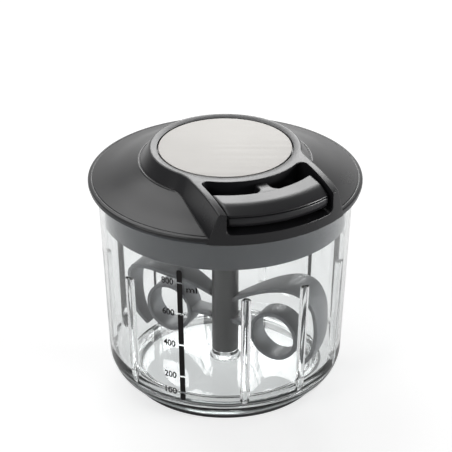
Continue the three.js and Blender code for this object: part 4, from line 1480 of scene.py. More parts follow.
@dataclass
class LidBase:
    """The lower lid moulding with its collar, and what is fixed in it, in millimetres."""

    collar_r: float = 60.8
    collar_wall: float = 2.0
    collar_low: float = 92.1
    plate: Point2 = (100.0, 102.0)
    flange: Point3 = (68.2, 109.3, 110.3)
    shoulder: Point2 = (65.2, 110.98)
    boss: Point2 = (11.0, 94.0)
    bore_r: float = 8.5
    seal_r: Point2 = (62.3, 63.9)
    seal_z: Point2 = (109.1, 109.8)
    room: float = 0.3
    notch_half: float = 35.5
    notch_end: float = 80.0
    core_z: Point2 = (90.0, 120.0)
    overrun: float = 3.0
    hole_r: float = 1.8
    post_r: float = 50.0
    posts: tuple[int, ...] = (60, 120, 240, 300)
    screw: Screw = Screw(1.5, 2.8, 99.7, -2.0, 11.0)
    bush: tuple[Point3, ...] = (
        (6.3, 94.0, 0.3), (8.2, 94.0, 0.3), (8.2, 102.3, 0.3), (10.0, 102.3, 0.3), (10.0, 103.3, 0.3),
        (6.3, 103.3, 0.3),
    )
    washer_r: Point2 = (6.3, 10.5)
    washer_z: Point2 = (103.6, 104.4)

    def moulding(self) -> Piece:
        """Turns the moulding, then cuts the lip away under the housing and drills for the screws.

        Returns:
            The piece.
        """
        inner = self.collar_r - self.collar_wall
        plate_low, plate_top = self.plate
        flange_r, flange_low, lip_top = self.flange
        shoulder_r, shoulder_top = self.shoulder
        boss_r, boss_low = self.boss
        groove_in, groove_out = self.seal_r[0] - self.room, self.seal_r[1] + self.room
        groove_top = self.seal_z[1] + self.room
        outline = eased([
            (self.bore_r, boss_low, 0.3), (boss_r, boss_low, 0.5), (boss_r, plate_low, 0.8),
            (inner, plate_low, 1.0), (inner, self.collar_low, 0.6), (self.collar_r, self.collar_low, 0.6),
            (self.collar_r, flange_low, 0.5), (groove_in, flange_low, 0.05), (groove_in, groove_top, 0.05),
            (groove_out, groove_top, 0.05), (groove_out, flange_low, 0.05), (flange_r, flange_low, 0.35),
            (flange_r, lip_top, 0.35), (shoulder_r, lip_top, 0.1), (shoulder_r, shoulder_top, 0.2),
            (inner, shoulder_top, 0.3), (inner, plate_top, 1.0), (self.bore_r, plate_top, 0.3),
        ], closed=True, steps=3)
        piece = spun("lid_base_moulded", outline, 180)
        notch = eased_block("notch", (-self.notch_half, self.notch_half), (0, self.notch_end),
                            (flange_low - self.overrun, shoulder_top - 0.05))
        combine(notch, Join.CUT, rod("core", shoulder_r, *self.core_z, steps=180))
        combine(piece, Join.CUT, notch, *(
            rod("hole", self.hole_r, plate_low - self.overrun, plate_top + self.overrun,
                round_place(self.post_r, degrees), 24) for degrees in self.posts))
        return shade(piece)

    def build(self, bench: Bench) -> None:
        """Builds and dresses the lower lid moulding with its seal, bush, washer and screws.

        Args:
            bench: The finishes at hand.
        """
        bench.hold(self.moulding(), Body.LID, Finish.COLLAR, "lid_base")
        seal = spun("lid_seal_soft", box_outline(self.seal_r, self.seal_z, 0.3, 4), 180)
        bench.hold(seal, Body.LID, Finish.SEAL, "lid_seal")
        bush = spun("drive_bush_turned", eased(self.bush, closed=True, steps=3), 96)
        bench.hold(bush, Body.LID, Finish.BRASS, "drive_bush")
        washer = turned_ring("thrust_washer_turned", self.washer_r, self.washer_z, 0.12)
        bench.hold(washer, Body.LID, Finish.STEEL, "thrust_washer")
        for i, degrees in enumerate(self.posts, 1):
            screw = self.screw.make(f"cover_screw_{i}_turned", round_place(self.post_r, degrees))
            bench.hold(screw, Body.LID, Finish.STEEL, f"cover_screw_{i}")


@dataclass
class LidCover:
    """The dark top cover with its raised head, housing and grip pocket, in millimetres."""

    edge_r: float = 68.7
    edge: Point2 = (110.6, 112.4)
    edge_wall: float = 2.1
    edge_ease: float = 0.4
    dome_wall: float = 1.5
    wall: float = 2.2
    dome_rise: float = 9.4
    dome_shares: tuple[Point2, ...] = (
        (0, 0), (0.2, 0.14), (0.41, 0.32), (0.67, 0.61), (0.85, 0.81), (1, 1))
    under_run: float = 2.4
    head_r: Point2 = (42.4, 37.8)
    head_top: float = 128.5
    head_wall: float = 2.4
    housing: Point2 = (35.2, 31.3)
    blend_r: float = 18.0
    flat_along: float = 33.0
    top_drop: float = 5.0
    round_edge: float = 0.7
    past_rim: float = 3.0
    wall_run: float = 1.3
    wall_low: float = 103.8
    skin: float = 0.03
    pocket_r: float = 40.0
    pocket_half: float = 28.0
    pocket_floor: float = 115.0
    pocket_corner: float = 3.0
    pocket_wall: float = 2.0
    pocket_end: float = 75.0
    skirt_low: float = 109.3
    above: float = 135.0
    disc_r: float = 33.25
    disc_thick: float = 0.6
    disc_gap: float = 0.3
    recess: Point3 = (33.9, 127.8, 127.0)
    trench: Point2 = (1.1, 0.9)
    lip_wall: float = 0.95
    screw_hole_z: Point2 = (118.0, 130.0)
    screw_head_hole: Point3 = (3.1, 124.9, 130.0)
    boss_r: float = 8.0
    cord_z: float = 121.0
    post_r: float = 50.0
    post_side: float = 4.0
    post_low: float = 102.3
    pilot_z: Point2 = (97.0, 111.6)
    posts: tuple[int, ...] = (60, 120, 240, 300)
    hole_r: float = 1.8
    screw: Screw = Screw(1.5, 2.8, 125.2, 1.8, 13.0)
    arbor: tuple[Point3, ...] = (
        (0, 107.0, 0), (4.0, 107.0, 0.5), (4.0, 121.1, 0.4), (7.0, 121.1, 0.2), (7.0, 122.3, 0.3),
        (1.8, 122.3, 0.3), (1.8, 111.9, 0), (0, 111.9, 0),
    )
    eyelet: tuple[Point3, ...] = (
        (1.25, 36.5, 0.7), (3.4, 36.5, 0.4), (3.4, 37.7, 0.15), (2.3, 37.7, 0), (2.3, 39.85, 0.4),
        (1.25, 39.85, 0.6),
    )
    eyelet_hole: tuple[Point2, ...] = ((0, 35), (3.7, 35), (3.7, 38), (2.6, 38), (2.6, 43), (0, 43))
    rim_groove: Point2 = (2.1, 0.27)
    foot_groove: Point2 = (0.15, 0.32)
    foot_bead: Point3 = (0.85, 0.5, 0.26)

    def dome_z(self, radius: float) -> float:
        """Height of the dome at a radius, flat inside the head and past the rim.

        Args:
            radius: The radius.

        Returns:
            The height.
        """
        share = min(max((self.edge_r - radius) / (self.edge_r - self.head_r[0]), 0.0), 1.0)
        run = smooth_run(self.dome_shares, 8)
        k = next((i for i in range(1, len(run)) if run[i][0] >= share), len(run) - 1)
        (s0, t0), (s1, t1) = run[k - 1], run[k]
        return self.edge[1] + self.dome_rise * (t0 + (t1 - t0) * (share - s0) / (s1 - s0))

    def dome(self, name: str, edge_r: float, low: float, drop: float, ease: float) -> Piece:
        """Turns a closed dome, whose slope runs on a little under the head.

        Args:
            name: Name of the piece.
            edge_r: Radius of its edge.
            low: Height of its flat underside.
            drop: How far it lies under the cover's surface.
            ease: Radius that rounds its edge.

        Returns:
            The piece.
        """
        run = smooth_run(self.dome_shares, 8)
        top = self.edge[1] - drop
        curve = [(edge_r + (self.head_r[0] - edge_r) * s, top + self.dome_rise * t) for s, t in run]
        edge = eased([(edge_r - self.past_rim, low, 0), (edge_r, low, ease), (*curve[0], 2 * ease),
                      (*curve[3], 0)], steps=5)
        (last_r, last_z), (top_r, top_z) = curve[-2:]
        inner = (top_r + self.under_run * (top_r - last_r), top_z + self.under_run * (top_z - last_z))
        outline = [(0, low)] + edge + curve[4:-1] + [inner, (0, inner[1])]
        return spun(name, outline, 180)

    def half_plan(self, head_r: float, side: float, inset: float) -> list[Point2]:
        """Half plan outline of head and housing.

        Args:
            head_r: Radius of the head.
            side: Half width of the housing.
            inset: How far the outline lies inside both.

        Returns:
            Points of x and distance along, from the back of the head to past the rim.
        """
        blend_along = math.sqrt((head_r + self.blend_r) ** 2 - (side + self.blend_r) ** 2)
        turn = math.atan2(side + self.blend_r, blend_along)
        on_head = arc((0, 0), head_r - inset, math.pi, turn, 44)
        blend = arc((blend_along, side + self.blend_r), -(self.blend_r + inset), turn, math.pi / 2, 16)
        reach = self.edge_r + self.past_rim
        straight = [(blend_along + (reach - blend_along) * i / 12, side - inset) for i in range(1, 13)]
        return [(x, along) for along, x in on_head + blend[1:] + straight]

    def top_z(self, along: float) -> float:
        """Height of the raised top, which falls towards the rim."""
        share = max(0.0, along - self.flat_along) / (self.edge_r - self.flat_along)
        return self.head_top - self.top_drop * share ** 2.5

    def raised(self) -> Piece:
        """Skins head and housing, with a rounded top edge and walls that run on below the dome.

        Returns:
            The piece.
        """
        base, top, inner = (self.half_plan(self.head_r[k], self.housing[k], inset)
                            for k, inset in ((0, 0), (1, 0), (1, self.round_edge)))
        walls = []
        for (bx, ba), (tx, ta), (ix, ia) in zip(base, top, inner):
            foot = Vector((bx, ba, self.dome_z(math.hypot(bx, ba))))
            edge = Vector((tx, ta, self.top_z(ta)))
            sunk = edge + (foot - edge) * self.wall_run
            start = edge + (sunk - edge).normalized() * self.round_edge
            walls.append((sunk, start, edge, Vector((ix, ia, self.top_z(ia)))))
        stations = [[Vector((sunk.x, sunk.y, self.wall_low)) for sunk, *_ in walls],
                    [sunk for sunk, *_ in walls]]
        stations += [[bow(start, edge, end, k / 5) for _, start, edge, end in walls] for k in range(6)]
        loops = []
        for station in stations:
            right = [Vector((p.x, -p.y, p.z)) for p in station]
            loops.append(right + [Vector((-p.x, p.y, p.z)) for p in reversed(right)])
        return lofted("raised", loops, strips=True)

    def pocket(self, name: str, arc_r: float, half: float, floor: float, corner: float) -> Piece:
        """Makes the space or the block of the grip pocket, open towards the front and the top.

        Args:
            name: Name of the piece.
            arc_r: Radius of its back, about the axis.
            half: Half of its width.
            floor: Height of its floor.
            corner: Radius of its corners.

        Returns:
            The piece.
        """
        corner_along = math.sqrt((arc_r + corner) ** 2 - (half - corner) ** 2)
        lean = math.atan2(half - corner, corner_along)
        back = arc((0, 0), arc_r, 0, lean, 20)
        turn = arc((corner_along, half - corner), corner, lean + math.pi, math.pi / 2, 8)
        right = [(x, along) for along, x in back + turn[1:]] + [(half, self.pocket_end)]
        outline = [(x, -along) for x, along in right + other_side(right[1:])]
        bm = remade(extruded(name, outline, floor, self.above))
        near = 0.01
        bottom = [edge for edge in bm.edges if all(v.co.z < (floor + near) * MM for v in edge.verts) and (
            all(v.co.y > (1 - self.pocket_end) * MM for v in edge.verts)
            or all(abs(v.co.x) > (half - near) * MM for v in edge.verts))]
        bevelled(bm, bottom, corner - 0.3, 6)
        return finish_mesh(bm, name)

    def front_trim(self) -> Piece:
        """Turns a drum with an eased lower edge that head and housing stay within.

        Returns:
            The piece.
        """
        radius, low, high = self.edge_r, self.skirt_low, self.above
        outline = [(0, low), (radius - 0.35, low), (radius - 0.1, low + 0.1), (radius, low + 0.35),
                   (radius, high), (0, high)]
        return spun("front", outline, 180)

    def foot_run(self, name: str, aside: float, section: Sequence[Point2], keep: int) -> Piece:
        """Lays a bar along the foot of head and housing, thinner towards its ends.

        Args:
            name: Name of the piece.
            aside: How far its middle lies outside the foot.
            section: Its section, beside its middle and above the dome.
            keep: How many points of half the outline it follows.

        Returns:
            The piece.
        """
        half = self.half_plan(self.head_r[0], self.housing[0], -aside)[:keep]
        run = other_side(half[1:]) + half
        path = [Vector((x, -along, self.dome_z(math.hypot(x, along)))) for x, along in run]
        loops = []
        for i, spot in enumerate(path):
            beside = way_at(path, i).cross(Vector((0, 0, 1))).normalized()
            thin = min(1.0, 0.15 + 0.2 * min(i, len(path) - 1 - i))
            loops.append([spot + (beside * side + Vector((0, 0, up))) * thin for side, up in section])
        return lofted(name, loops)

    def hollow(self) -> Piece:
        """Makes the space under the cover, round the pocket's walls.

        Returns:
            The piece.
        """
        base_r, top_r = (radius - self.head_wall for radius in self.head_r)
        low, roof, wall = self.edge[0] - 5, self.recess[2] - self.wall, self.pocket_wall
        shoulder = self.edge[1] + self.dome_rise - self.wall
        under = [(0, low - 0.5), (base_r, low - 0.5), (base_r, shoulder), (top_r, roof), (0, roof)]
        space = self.dome("hollow", self.edge_r - self.edge_wall, low, self.dome_wall, 0.02)
        combine(space, Join.UNION, spun("under_head", under))
        walls = self.pocket("walls", self.pocket_r - wall, self.pocket_half + wall, self.pocket_floor - wall,
                            self.pocket_corner + wall)
        boss = rod("boss", self.boss_r, self.recess[2] - 2 * self.wall, roof + 1)
        return combine(space, Join.CUT, walls, boss)

    def shell(self) -> Piece:
        """Makes the cover from dome, head and housing, hollow underneath, with posts for the screws.

        Returns:
            The piece.
        """
        inset, deep = self.rim_groove
        seam_r = self.edge_r - inset
        seam = arc((seam_r, self.dome_z(seam_r) + self.skin), deep, 0.1, 0.1 + TAU, 10)[:-1]
        outer = self.dome("cover", self.edge_r - self.skin, self.edge[0], 0, self.edge_ease)
        combine(outer, Join.CUT, spun("seam", seam, 180))
        aside, half, rise = self.foot_bead
        crown = eased([(-half, -0.6, 0), (half, -0.6, 0), (half, 0, 0), (half * 0.6, rise, 0.1),
                       (-half * 0.6, rise, 0.1), (-half, 0, 0)], closed=True, steps=2)
        combine(outer, Join.UNION, combine(self.raised(), Join.COMMON, self.front_trim()),
                self.foot_run("bead", aside, crown, 50))
        aside, radius = self.foot_groove
        gap = arc((0, 0), radius, 0.3, 0.3 + TAU, 10)[:-1]
        combine(outer, Join.CUT, self.foot_run("gap", aside, gap, 72), self.hollow())
        for place in (round_place(self.post_r, degrees) for degrees in self.posts):
            post = rod("post", self.post_side, self.post_low, self.edge[1] + self.dome_rise, place, 36)
            combine(post, Join.COMMON, self.dome("under", self.edge_r, 95, self.dome_wall / 2, 0.02))
            combine(outer, Join.UNION, post)
            combine(outer, Join.CUT, rod("pilot", self.hole_r, *self.pilot_z, place, 24))
        return outer

    def fittings(self, outer: Piece) -> Piece:
        """Cuts the pocket, the disc's recess and the holes for screw and eyelet.

        Args:
            outer: The cover.

        Returns:
            The cover.
        """
        wide, rim_z, floor_z = self.recess
        trench, deep = self.trench
        lip = self.head_r[1] - self.lip_wall
        recess = [(0, floor_z), (wide - trench, floor_z), (wide - trench, floor_z - deep),
                  (wide, floor_z - deep), (wide, rim_z), (lip, self.head_top + self.skin), (lip, self.above),
                  (0, self.above)]
        return combine(
            outer, Join.CUT,
            self.pocket("pocket", self.pocket_r, self.pocket_half, self.pocket_floor, self.pocket_corner),
            spun("recess", recess, 180),
            rod("screw_hole", self.hole_r, *self.screw_hole_z, steps=24),
            rod("screw_head", *self.screw_head_hole, steps=36),
            along_cord(spun("eyelet_hole", self.eyelet_hole, 36), self.cord_z),
        )

    def build(self, bench: Bench) -> None:
        """Builds and dresses the cover, its steel disc and what is fixed to it.

        Args:
            bench: The finishes at hand.
        """
        cover = shade(cleaned(self.fittings(self.shell())), 20)
        cover.name = "lid_cover_moulded"
        bench.hold(cover, Body.LID, Finish.COVER, "lid_cover")
        floor = self.recess[2] + self.disc_gap
        disc = disc_outline(self.disc_r, (floor, floor + self.disc_thick), (0.1, 0.2), 4)
        disc = spun("disc_plate_brushed", disc, 180)
        bench.hold(disc, Body.LID, Finish.DISC, "disc_plate")
        arbor = spun("spring_arbor_turned", eased(self.arbor, steps=3), 96)
        bench.hold(arbor, Body.LID, Finish.BRASS, "spring_arbor")
        bench.hold(self.screw.make("arbor_screw_turned"), Body.LID, Finish.STEEL, "arbor_screw")
        eyelet = spun("cord_eyelet_turned", eased(self.eyelet, closed=True), 72)
        bench.hold(along_cord(eyelet, self.cord_z), Body.LID, Finish.STEEL, "cord_eyelet")


# --- The grip ---


@dataclass
class Grip:
    """The pull grip: an upper shell with its stem and a lower shell, in millimetres."""

    back_r: float = 49.3
    crease_r: float = 59.0
    crown: float = 2.2
    front_r: float = 66.2
    bulge: float = 0.4
    half: float = 26.7
    end_ease: float = 1.4
    top_z: float = 126.3
    part: Point2 = (122.6, 122.9)
    low_z: float = 117.5
    front_z: float = 123.5
    hollow_r: Point2 = (51.3, 64.2)
    shell: float = 2.0
    floor: float = 1.2
    stem_half: float = 3.2
    stem_back: float = 40.3
    stem_low: float = 118.6
    stem_end: float = 52.0
    stem_ease: float = 0.9
    pilot_top: float = 124.3
    flare_r: float = 4.0
    room: float = 0.3
    slip: float = 0.02
    overrun: float = 2.0
    cord_z: float = 121.0
    cord_bore: tuple[Point2, ...] = ((0, 37), (1.1, 37), (1.1, 54), (0, 54))
    screw_places: tuple[Point2, ...] = ((-18.0, -57.75), (18.0, -57.75))
    screw: Screw = Screw(1.2, 2.5, 119.0, -1.2, 5.0)
    hole_r: float = 1.5
    pad: Point2 = (3.5, 3.2)
    seat: Point2 = (2.8, 1.8)
    knot: Point2 = (53.5, 1.9)

    def bar(self, name: str, section: Sequence[Point2], ease: float, flat_z: float) -> Piece:
        """Skins a bar that bends about the axis, with parallel rounded ends.

        Args:
            name: Name of the piece.
            section: Closed outline of radius and height.
            ease: Radius of the rounding of its ends.
            flat_z: Height of the face that stays flat out to the ends.

        Returns:
            The piece.
        """
        middle = (self.back_r + self.front_r) / 2
        width, height = self.front_r - self.back_r, max(abs(z - flat_z) for _, z in section)
        reach = self.half - ease
        stops = [(reach * i / 24, 0.0) for i in range(25)]
        for turn in (math.pi / 2 * k / 5 for k in range(1, 6)):
            stops.append((reach + ease * math.sin(turn), ease * (1 - math.cos(turn))))
        loops = []
        for x, inset in other_side(stops[1:]) + stops:
            slim, low = 1 - 2 * inset / width, 1 - inset / height
            drawn = [(middle + (r - middle) * slim, flat_z + (z - flat_z) * low) for r, z in section]
            loops.append([Vector((x, -math.sqrt(r * r - x * x), z)) for r, z in drawn])
        return lofted(name, loops)

    def stem(self) -> Piece:
        """Makes the stem, flared where it meets the bar and rounded along its top.

        Returns:
            The piece.
        """
        flare_along, side = self.back_r - self.flare_r, self.stem_half + self.flare_r
        centre = math.sqrt(flare_along ** 2 - side ** 2)
        flare = arc((centre, side), self.flare_r, -math.pi / 2, math.atan2(side, centre), 8)
        right = [(self.stem_half - 1.0, self.stem_back), (self.stem_half, self.stem_back + 1.0)]
        right += [(x, along) for along, x in flare] + [(flare[-1][1], self.stem_end)]
        outline = [(x, -along) for x, along in right + other_side(right)]
        bm = remade(extruded("stem", outline, self.part[1] + self.slip, self.top_z - self.slip))
        crown = [edge for edge in bm.edges if all(v.co.z > (self.top_z - 0.03) * MM for v in edge.verts)
                 and not all(v.co.y < (1 - self.stem_end) * MM for v in edge.verts)]
        bevelled(bm, crown, self.stem_ease, 5)
        return finish_mesh(bm, "stem")

    def upper(self) -> Piece:
        """Makes the upper shell with its stem and tongue.

        Returns:
            The piece.
        """
        top, seam = self.top_z, self.part[1]
        nose = Vector((self.front_r - 0.3, self.front_z + 0.15))
        crease = Vector((self.crease_r, top))
        start = crease - Vector((self.crown, 0))
        stop = crease + (nose - crease).normalized() * self.crown
        crown = [bow(start, crease, stop, k / 8) for k in range(9)]
        section = eased([
            (self.back_r, seam, 0.2), (self.back_r, top, 1.0), (self.back_r + 1.3, top, 0.0),
            *((*spot, 0.0) for spot in crown), (*nose, 0.7), (self.front_r, seam, 0.3),
        ], closed=True, steps=7)
        piece = self.bar("grip_upper_moulded", section, self.end_ease, seam)
        tongue = self.stem_half - self.slip
        foot = eased_block("foot", (-tongue, tongue), (self.stem_back + self.slip, self.hollow_r[0]),
                           (self.stem_low, seam + 0.6))
        combine(piece, Join.UNION, self.stem(), foot)
        bore = along_cord(spun("bore", self.cord_bore, 24), self.cord_z)
        combine(piece, Join.CUT, bore, *(
            rod("pilot", self.hole_r, seam - self.overrun, self.pilot_top, place, 24)
            for place in self.screw_places))
        return shade(piece, 24)

    def lower(self) -> Piece:
        """Makes the lower shell, hollow above its floor, with a notch for the stem and screw seats.

        Returns:
            The piece.
        """
        high, low, over = self.part[0], self.low_z, self.overrun
        front_r, bulge = self.front_r, self.bulge
        section = eased([
            (self.back_r, low, 0.8), (front_r - bulge - 0.2, low, 1.6),
            (front_r + bulge, (low + high) / 2, 3.0), (front_r + bulge / 2, high, 0.5),
            (self.back_r, high, 0.3),
        ], closed=True, steps=7)
        piece = self.bar("grip_lower_moulded", section, self.end_ease, high)
        near, far = self.hollow_r
        space = [(near, low + self.floor), (far, low + self.floor), (far, high + over), (near, high + over)]
        inside = Grip(half=self.half - self.shell).bar("inside", space, 0.3, high + over)
        side = self.stem_half + self.room
        notch = eased_block("notch", (-side, side), (self.stem_back, near + self.room),
                            (self.stem_low - self.room, high + over))
        combine(piece, Join.CUT, inside, notch)
        (pad_r, pad_high), (seat_r, seat_high) = self.pad, self.seat
        for place in self.screw_places:
            combine(piece, Join.UNION, rod("pad", pad_r, low + self.floor / 2, low + pad_high, place, 36))
            combine(piece, Join.CUT, rod("hole", self.hole_r, low - over, high + over, place, 24),
                    rod("seat", seat_r, low - over, low + seat_high, place, 36))
        return shade(piece, 24)

    def build(self, bench: Bench) -> None:
        """Builds and dresses the grip's shells, screws and the knob on the cord's end.

        Args:
            bench: The finishes at hand.
        """
        bench.hold(self.upper(), Body.HANDLE, Finish.COVER, "grip_upper")
        bench.hold(self.lower(), Body.HANDLE, Finish.COVER, "grip_lower")
        for i, place in enumerate(self.screw_places, 1):
            screw = self.screw.make(f"grip_screw_{i}_turned", place)
            bench.hold(screw, Body.HANDLE, Finish.STEEL, f"grip_screw_{i}")
        middle, radius = self.knot
        ball = arc((0, middle), radius, -math.pi / 2, math.pi / 2, 24)[1:-1]
        knob = spun("cord_knot_turned", [(0, middle - radius), *ball, (0, middle + radius)], 48)
        bench.hold(along_cord(knob, self.cord_z), Body.HANDLE, Finish.STEEL, "cord_knot")


# --- The cord and its drum ---


@dataclass
class CordRun:
    """The braided cord: wound on the drum, led to the eyelet and pulled by the grip, in millimetres."""

    radius: float = 0.8
    cord_z: float = 121.0
    wind_r: float = 20.0
    turns: float = 3.0
    wind: Point2 = (119.1, 112.95)
    bend_along: float = 34.6
    bend_length: float = 3.0
    lead_end: float = 40.0
    pull: Point2 = (40.3, 51.3)
    sides: int = 12

    def tube(self, name: str, path: Sequence[Vector]) -> Piece:
        """Sweeps a round section along a path, with a UV map in cord widths.

        Args:
            name: Name of the piece.
            path: Points of the path.

        Returns:
            The piece.
        """
        bm = bmesh.new()
        layer = bm.loops.layers.uv.new("cord")
        rings, lengths = [], [0.0]
        turns = [TAU * k / self.sides for k in range(self.sides)]
        for i, spot in enumerate(path):
            way = way_at(path, i)
            beside = way.cross(Vector((0, 0, 1))).normalized()
            above = beside.cross(way)
            rings.append([bm.verts.new((spot + (beside * math.cos(turn) + above * math.sin(turn))
                                        * self.radius) * MM) for turn in turns])
            if i:
                lengths.append(lengths[-1] + (spot - path[i - 1]).length)
        across = TAU * self.radius
        for i, (low, high) in enumerate(zip(rings, rings[1:])):
            for k in range(self.sides):
                after = (k + 1) % self.sides
                face = bm.faces.new((low[k], low[after], high[after], high[k]))
                ends = ((k, i), (k + 1, i), (k + 1, i + 1), (k, i + 1))
                for loop, (turn, step) in zip(face.loops, ends):
                    loop[layer].uv = (turn / self.sides, lengths[step] / across)
        for ring in (rings[0], rings[-1]):
            bm.faces.new(ring)
        return finish_mesh(bm, name, 50)

    def on_drum(self, turn: float, height: float) -> Vector:
        """Point of the winding at an angle in radians and a height."""
        return Vector((self.wind_r * math.cos(turn), self.wind_r * math.sin(turn), height))

    def build(self, bench: Bench) -> None:
        """Builds and dresses the cord's three stretches.

        Args:
            bench: The finishes at hand.
        """
        leave = -math.pi / 2 - math.acos(self.wind_r / self.bend_along)
        top, low = self.wind
        count = int(self.turns * 60)
        wound = [self.on_drum(leave - TAU * self.turns * i / count, top + (low - top) * i / count)
                 for i in range(count + 1)]
        bench.hold(self.tube("cord_winding_braided", wound), Body.DRUM, Finish.CORD, "cord_winding")
        start = self.on_drum(leave, self.cord_z)
        bend = Vector((0, -self.bend_along, self.cord_z))
        before = bend + (start - bend).normalized() * self.bend_length
        after = Vector((0, -self.bend_along - self.bend_length, self.cord_z))
        led = [start + (before - start) * i / 12 for i in range(12)]
        led += [bow(before, bend, after, k / 10) for k in range(10)]
        led += [after, Vector((0, -self.lead_end, self.cord_z))]
        bench.hold(self.tube("cord_lead_braided", led), Body.LID, Finish.CORD, "cord_lead")
        near, far = self.pull
        straight = [Vector((0, -near - (far - near) * i / 24, self.cord_z)) for i in range(25)]
        pulled = self.tube("pull_cord_braided", straight)
        pulled.data.materials.append(bench.finishes[Finish.CORD])
        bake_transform(pulled)
        bench.settle(pulled, Finish.CORD, ("pull_cord",))


@dataclass
class Drive:
    """The drum with its spring, and the shaft that turns the insert, in millimetres."""

    drum: tuple[Point3, ...] = (
        (0, 94.3, 0), (6.0, 94.3, 0.5), (6.0, 104.7, 0.3), (18.9, 104.7, 0.8), (18.9, 110.65, 0.3),
        (22.5, 110.65, 0.4), (22.5, 111.85, 0.4), (18.9, 111.85, 0.3), (18.9, 122.1, 0.3), (22.5, 122.1, 0.4),
        (22.5, 123.3, 0.4), (17.0, 123.3, 0.3), (17.0, 115.6, 0), (16.0, 115.6, 0.2), (16.0, 106.7, 0.3),
        (5.2, 106.7, 0.2), (5.2, 105.6, 0), (0, 105.6, 0),
    )
    socket: Point3 = (7.0, 93.0, 107.0)
    shaft: Point3 = (6.4, 75.5, 106.0)
    shaft_ease: float = 0.4
    chamfer: Point2 = (0.8, 0.8)
    shaft_head: Point3 = (4.9, 105.9, 106.55)
    plate_r: Point2 = (8.0, 16.7)
    plate_z: Point2 = (115.9, 116.7)
    spring: Point3 = (4.3, 15.2, 0.5)
    spring_z: Point2 = (107.3, 115.3)
    spring_ease: float = 0.12
    turns: int = 6

    def wound_strip(self) -> Piece:
        """Winds the flat spring from the arbor out to the drum's wall.

        Returns:
            The piece.
        """
        inner, outer, thick = self.spring
        section = box_outline((0, thick), self.spring_z, self.spring_ease, 2)
        count = self.turns * 72
        loops = []
        for i in range(count + 1):
            radius, (x, y) = inner + (outer - inner) * i / count, round_place(1.0, 5.0 * i)
            loops.append([Vector((x * (radius + out), y * (radius + out), z)) for out, z in section])
        return lofted("recoil_spring_wound", loops)

    def driven_shaft(self) -> Piece:
        """Makes the hexagon shaft with a chamfered foot and a flat round head.

        Returns:
            The piece.
        """
        across, low, high = self.shaft
        foot_share, foot_high = self.chamfer
        outline = hexagon(across, self.shaft_ease)
        loops = [[Vector((x * share, y * share, z)) for x, y in outline]
                 for share, z in ((foot_share, low), (1.0, low + foot_high), (1.0, high))]
        head_r, *head_z = self.shaft_head
        head = spun("head", disc_outline(head_r, head_z, (0.15, 0.2), 3), 72)
        return combine(lofted("drive_shaft_milled", loops), Join.UNION, head)

    def build(self, bench: Bench) -> None:
        """Builds and dresses the drum, its spring and plate, and the shaft.

        Args:
            bench: The finishes at hand.
        """
        across, low, high = self.socket
        drum = spun("cord_drum_moulded", eased(self.drum, steps=3))
        combine(drum, Join.CUT, extruded("socket", hexagon(across, 0), low, high))
        bench.hold(shade(drum), Body.DRUM, Finish.DRUM, "cord_drum")
        bench.hold(self.wound_strip(), Body.DRUM, Finish.SPRING, "recoil_spring")
        plate = turned_ring("spring_plate_turned", self.plate_r, self.plate_z, 0.12)
        bench.hold(plate, Body.DRUM, Finish.STEEL, "spring_plate")
        bench.hold(shade(self.driven_shaft()), Body.DRUM, Finish.STEEL, "drive_shaft")


# --- Studio ---


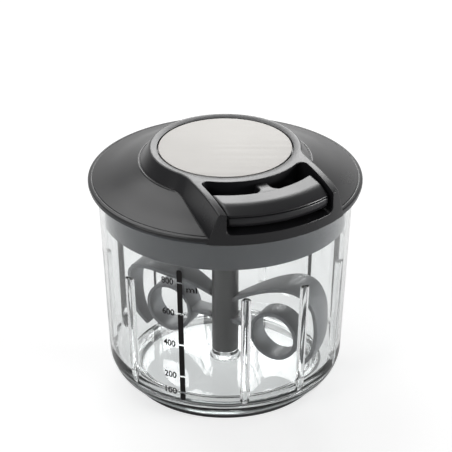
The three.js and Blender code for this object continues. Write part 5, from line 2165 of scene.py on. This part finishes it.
@dataclass
class Studio:
    """The camera at the photograph's angle, a pale floor, soft lamps and a white backdrop, in metres."""

    camera_at: Point3 = (-0.3607, -0.7878, 0.5480)
    tilt_deg: float = 61.79
    turn_deg: float = -24.6
    lens: float = 154.4
    shift_x: float = 0.0018
    near_clip: float = 0.05
    aim_z: float = 0.07
    ambient: float = 0.16
    backdrop: Point3 = (0.416, 0.909, 0.0)
    backdrop_edge: Point2 = (0.55, 0.92)
    room: float = 0.2
    floor_size: float = 6.0
    floor_level: float = 0.6
    floor_edge: Point2 = (-0.05, 0.25)
    glow: float = 0.62
    lamps: tuple[tuple[str, Point3, float, float], ...] = (
        ("left_lamp", (-1.12, -0.42, 0.8), 0.5, 4.5),
        ("low_lamp", (-1.35, -0.05, 0.12), 0.35, 3.5),
        ("back_lamp", (0.66, 1.2, 0.83), 0.62, 5.7),
        ("top_lamp", (-0.17, 0.75, 1.2), 0.9, 5.2),
        ("right_lamp", (1.05, -0.75, 0.25), 0.4, 13.0),
    )

    def camera(self) -> None:
        """Sets the camera."""
        data = bpy.data.cameras.new("camera")
        data.lens, data.sensor_width = self.lens, 36.0
        data.shift_x, data.clip_start = self.shift_x, self.near_clip
        camera = bpy.data.objects.new("camera", data)
        camera.location = self.camera_at
        camera.rotation_euler = (math.radians(self.tilt_deg), 0, math.radians(self.turn_deg))
        bpy.context.scene.collection.objects.link(camera)
        bpy.context.scene.camera = camera

    def light(self) -> None:
        """Hangs the lamps, each turned to the middle of the object."""
        for name, place, size, power in self.lamps:
            data = bpy.data.lights.new(name, "AREA")
            data.shape, data.size, data.energy = "DISK", size, power
            lamp = bpy.data.objects.new(name, data)
            lamp.location = place
            way = Vector((0, 0, self.aim_z)) - Vector(place)
            lamp.rotation_euler = way.to_track_quat("-Z", "Y").to_euler()
            bpy.context.scene.collection.objects.link(lamp)

    def surround(self) -> None:
        """Makes the world white where it is seen, darker in mirrored light and soft where it lights."""
        world = bpy.data.worlds.new("surround")
        world.use_nodes = True
        world.node_tree.nodes.clear()
        nodes = Nodes(world.node_tree)
        way = nodes.add("ShaderNodeTexCoord").outputs["Generated"]
        mirrored = nodes.spread(nodes.ahead(way, self.backdrop), self.room, 1.0, *self.backdrop_edge)
        strength = nodes.calc("MAXIMUM", nodes.seen(mirrored), self.ambient)
        back = nodes.add("ShaderNodeBackground", {"Color": WHITE, "Strength": strength})
        nodes.add("ShaderNodeOutputWorld", {"Surface": back.outputs[0]})
        bpy.context.scene.world = world

    def floor(self) -> None:
        """Lays a pale floor that keeps the object's shadow, and glows where it is seen."""
        bm = bmesh.new()
        bmesh.ops.create_grid(bm, x_segments=8, y_segments=8, size=self.floor_size)
        floor = placed("floor", bm)
        coat = Coat("pale_floor")
        level = self.floor_level
        coat.set(Base_Color=(level, level, level, 1.0), Roughness=0.9, Specular_IOR_Level=0.0)
        nodes = coat.nodes
        mirrored = nodes.spread(nodes.ahead(coat.place, self.backdrop), 0.0, 1.0, *self.floor_edge)
        strength = nodes.spread(nodes.seen(mirrored), 0.0, self.glow)
        glow = nodes.add("ShaderNodeEmission", {"Color": WHITE, "Strength": strength})
        coat.show(nodes.add("ShaderNodeAddShader", {0: coat.shader.outputs[0], 1: glow.outputs[0]}))
        floor.data.materials.append(coat.material)

    def build(self) -> None:
        """Sets up the camera, the lamps, the surround and the floor."""
        self.camera()
        self.light()
        self.surround()
        self.floor()
        bpy.context.scene.view_settings.view_transform = "Standard"


def main() -> None:
    """Builds the studio and the sub-assemblies in order."""
    logging.basicConfig(level=logging.INFO, format="%(name)s %(message)s")
    Studio().build()
    bench = Bench()
    for assembly in (Vessel(), MixingInsert(), LidBase(), LidCover(), Grip(), CordRun(), Drive()):
        log.info("%s", type(assembly).__name__)
        assembly.build(bench)


if __name__ == "__main__":
    main()
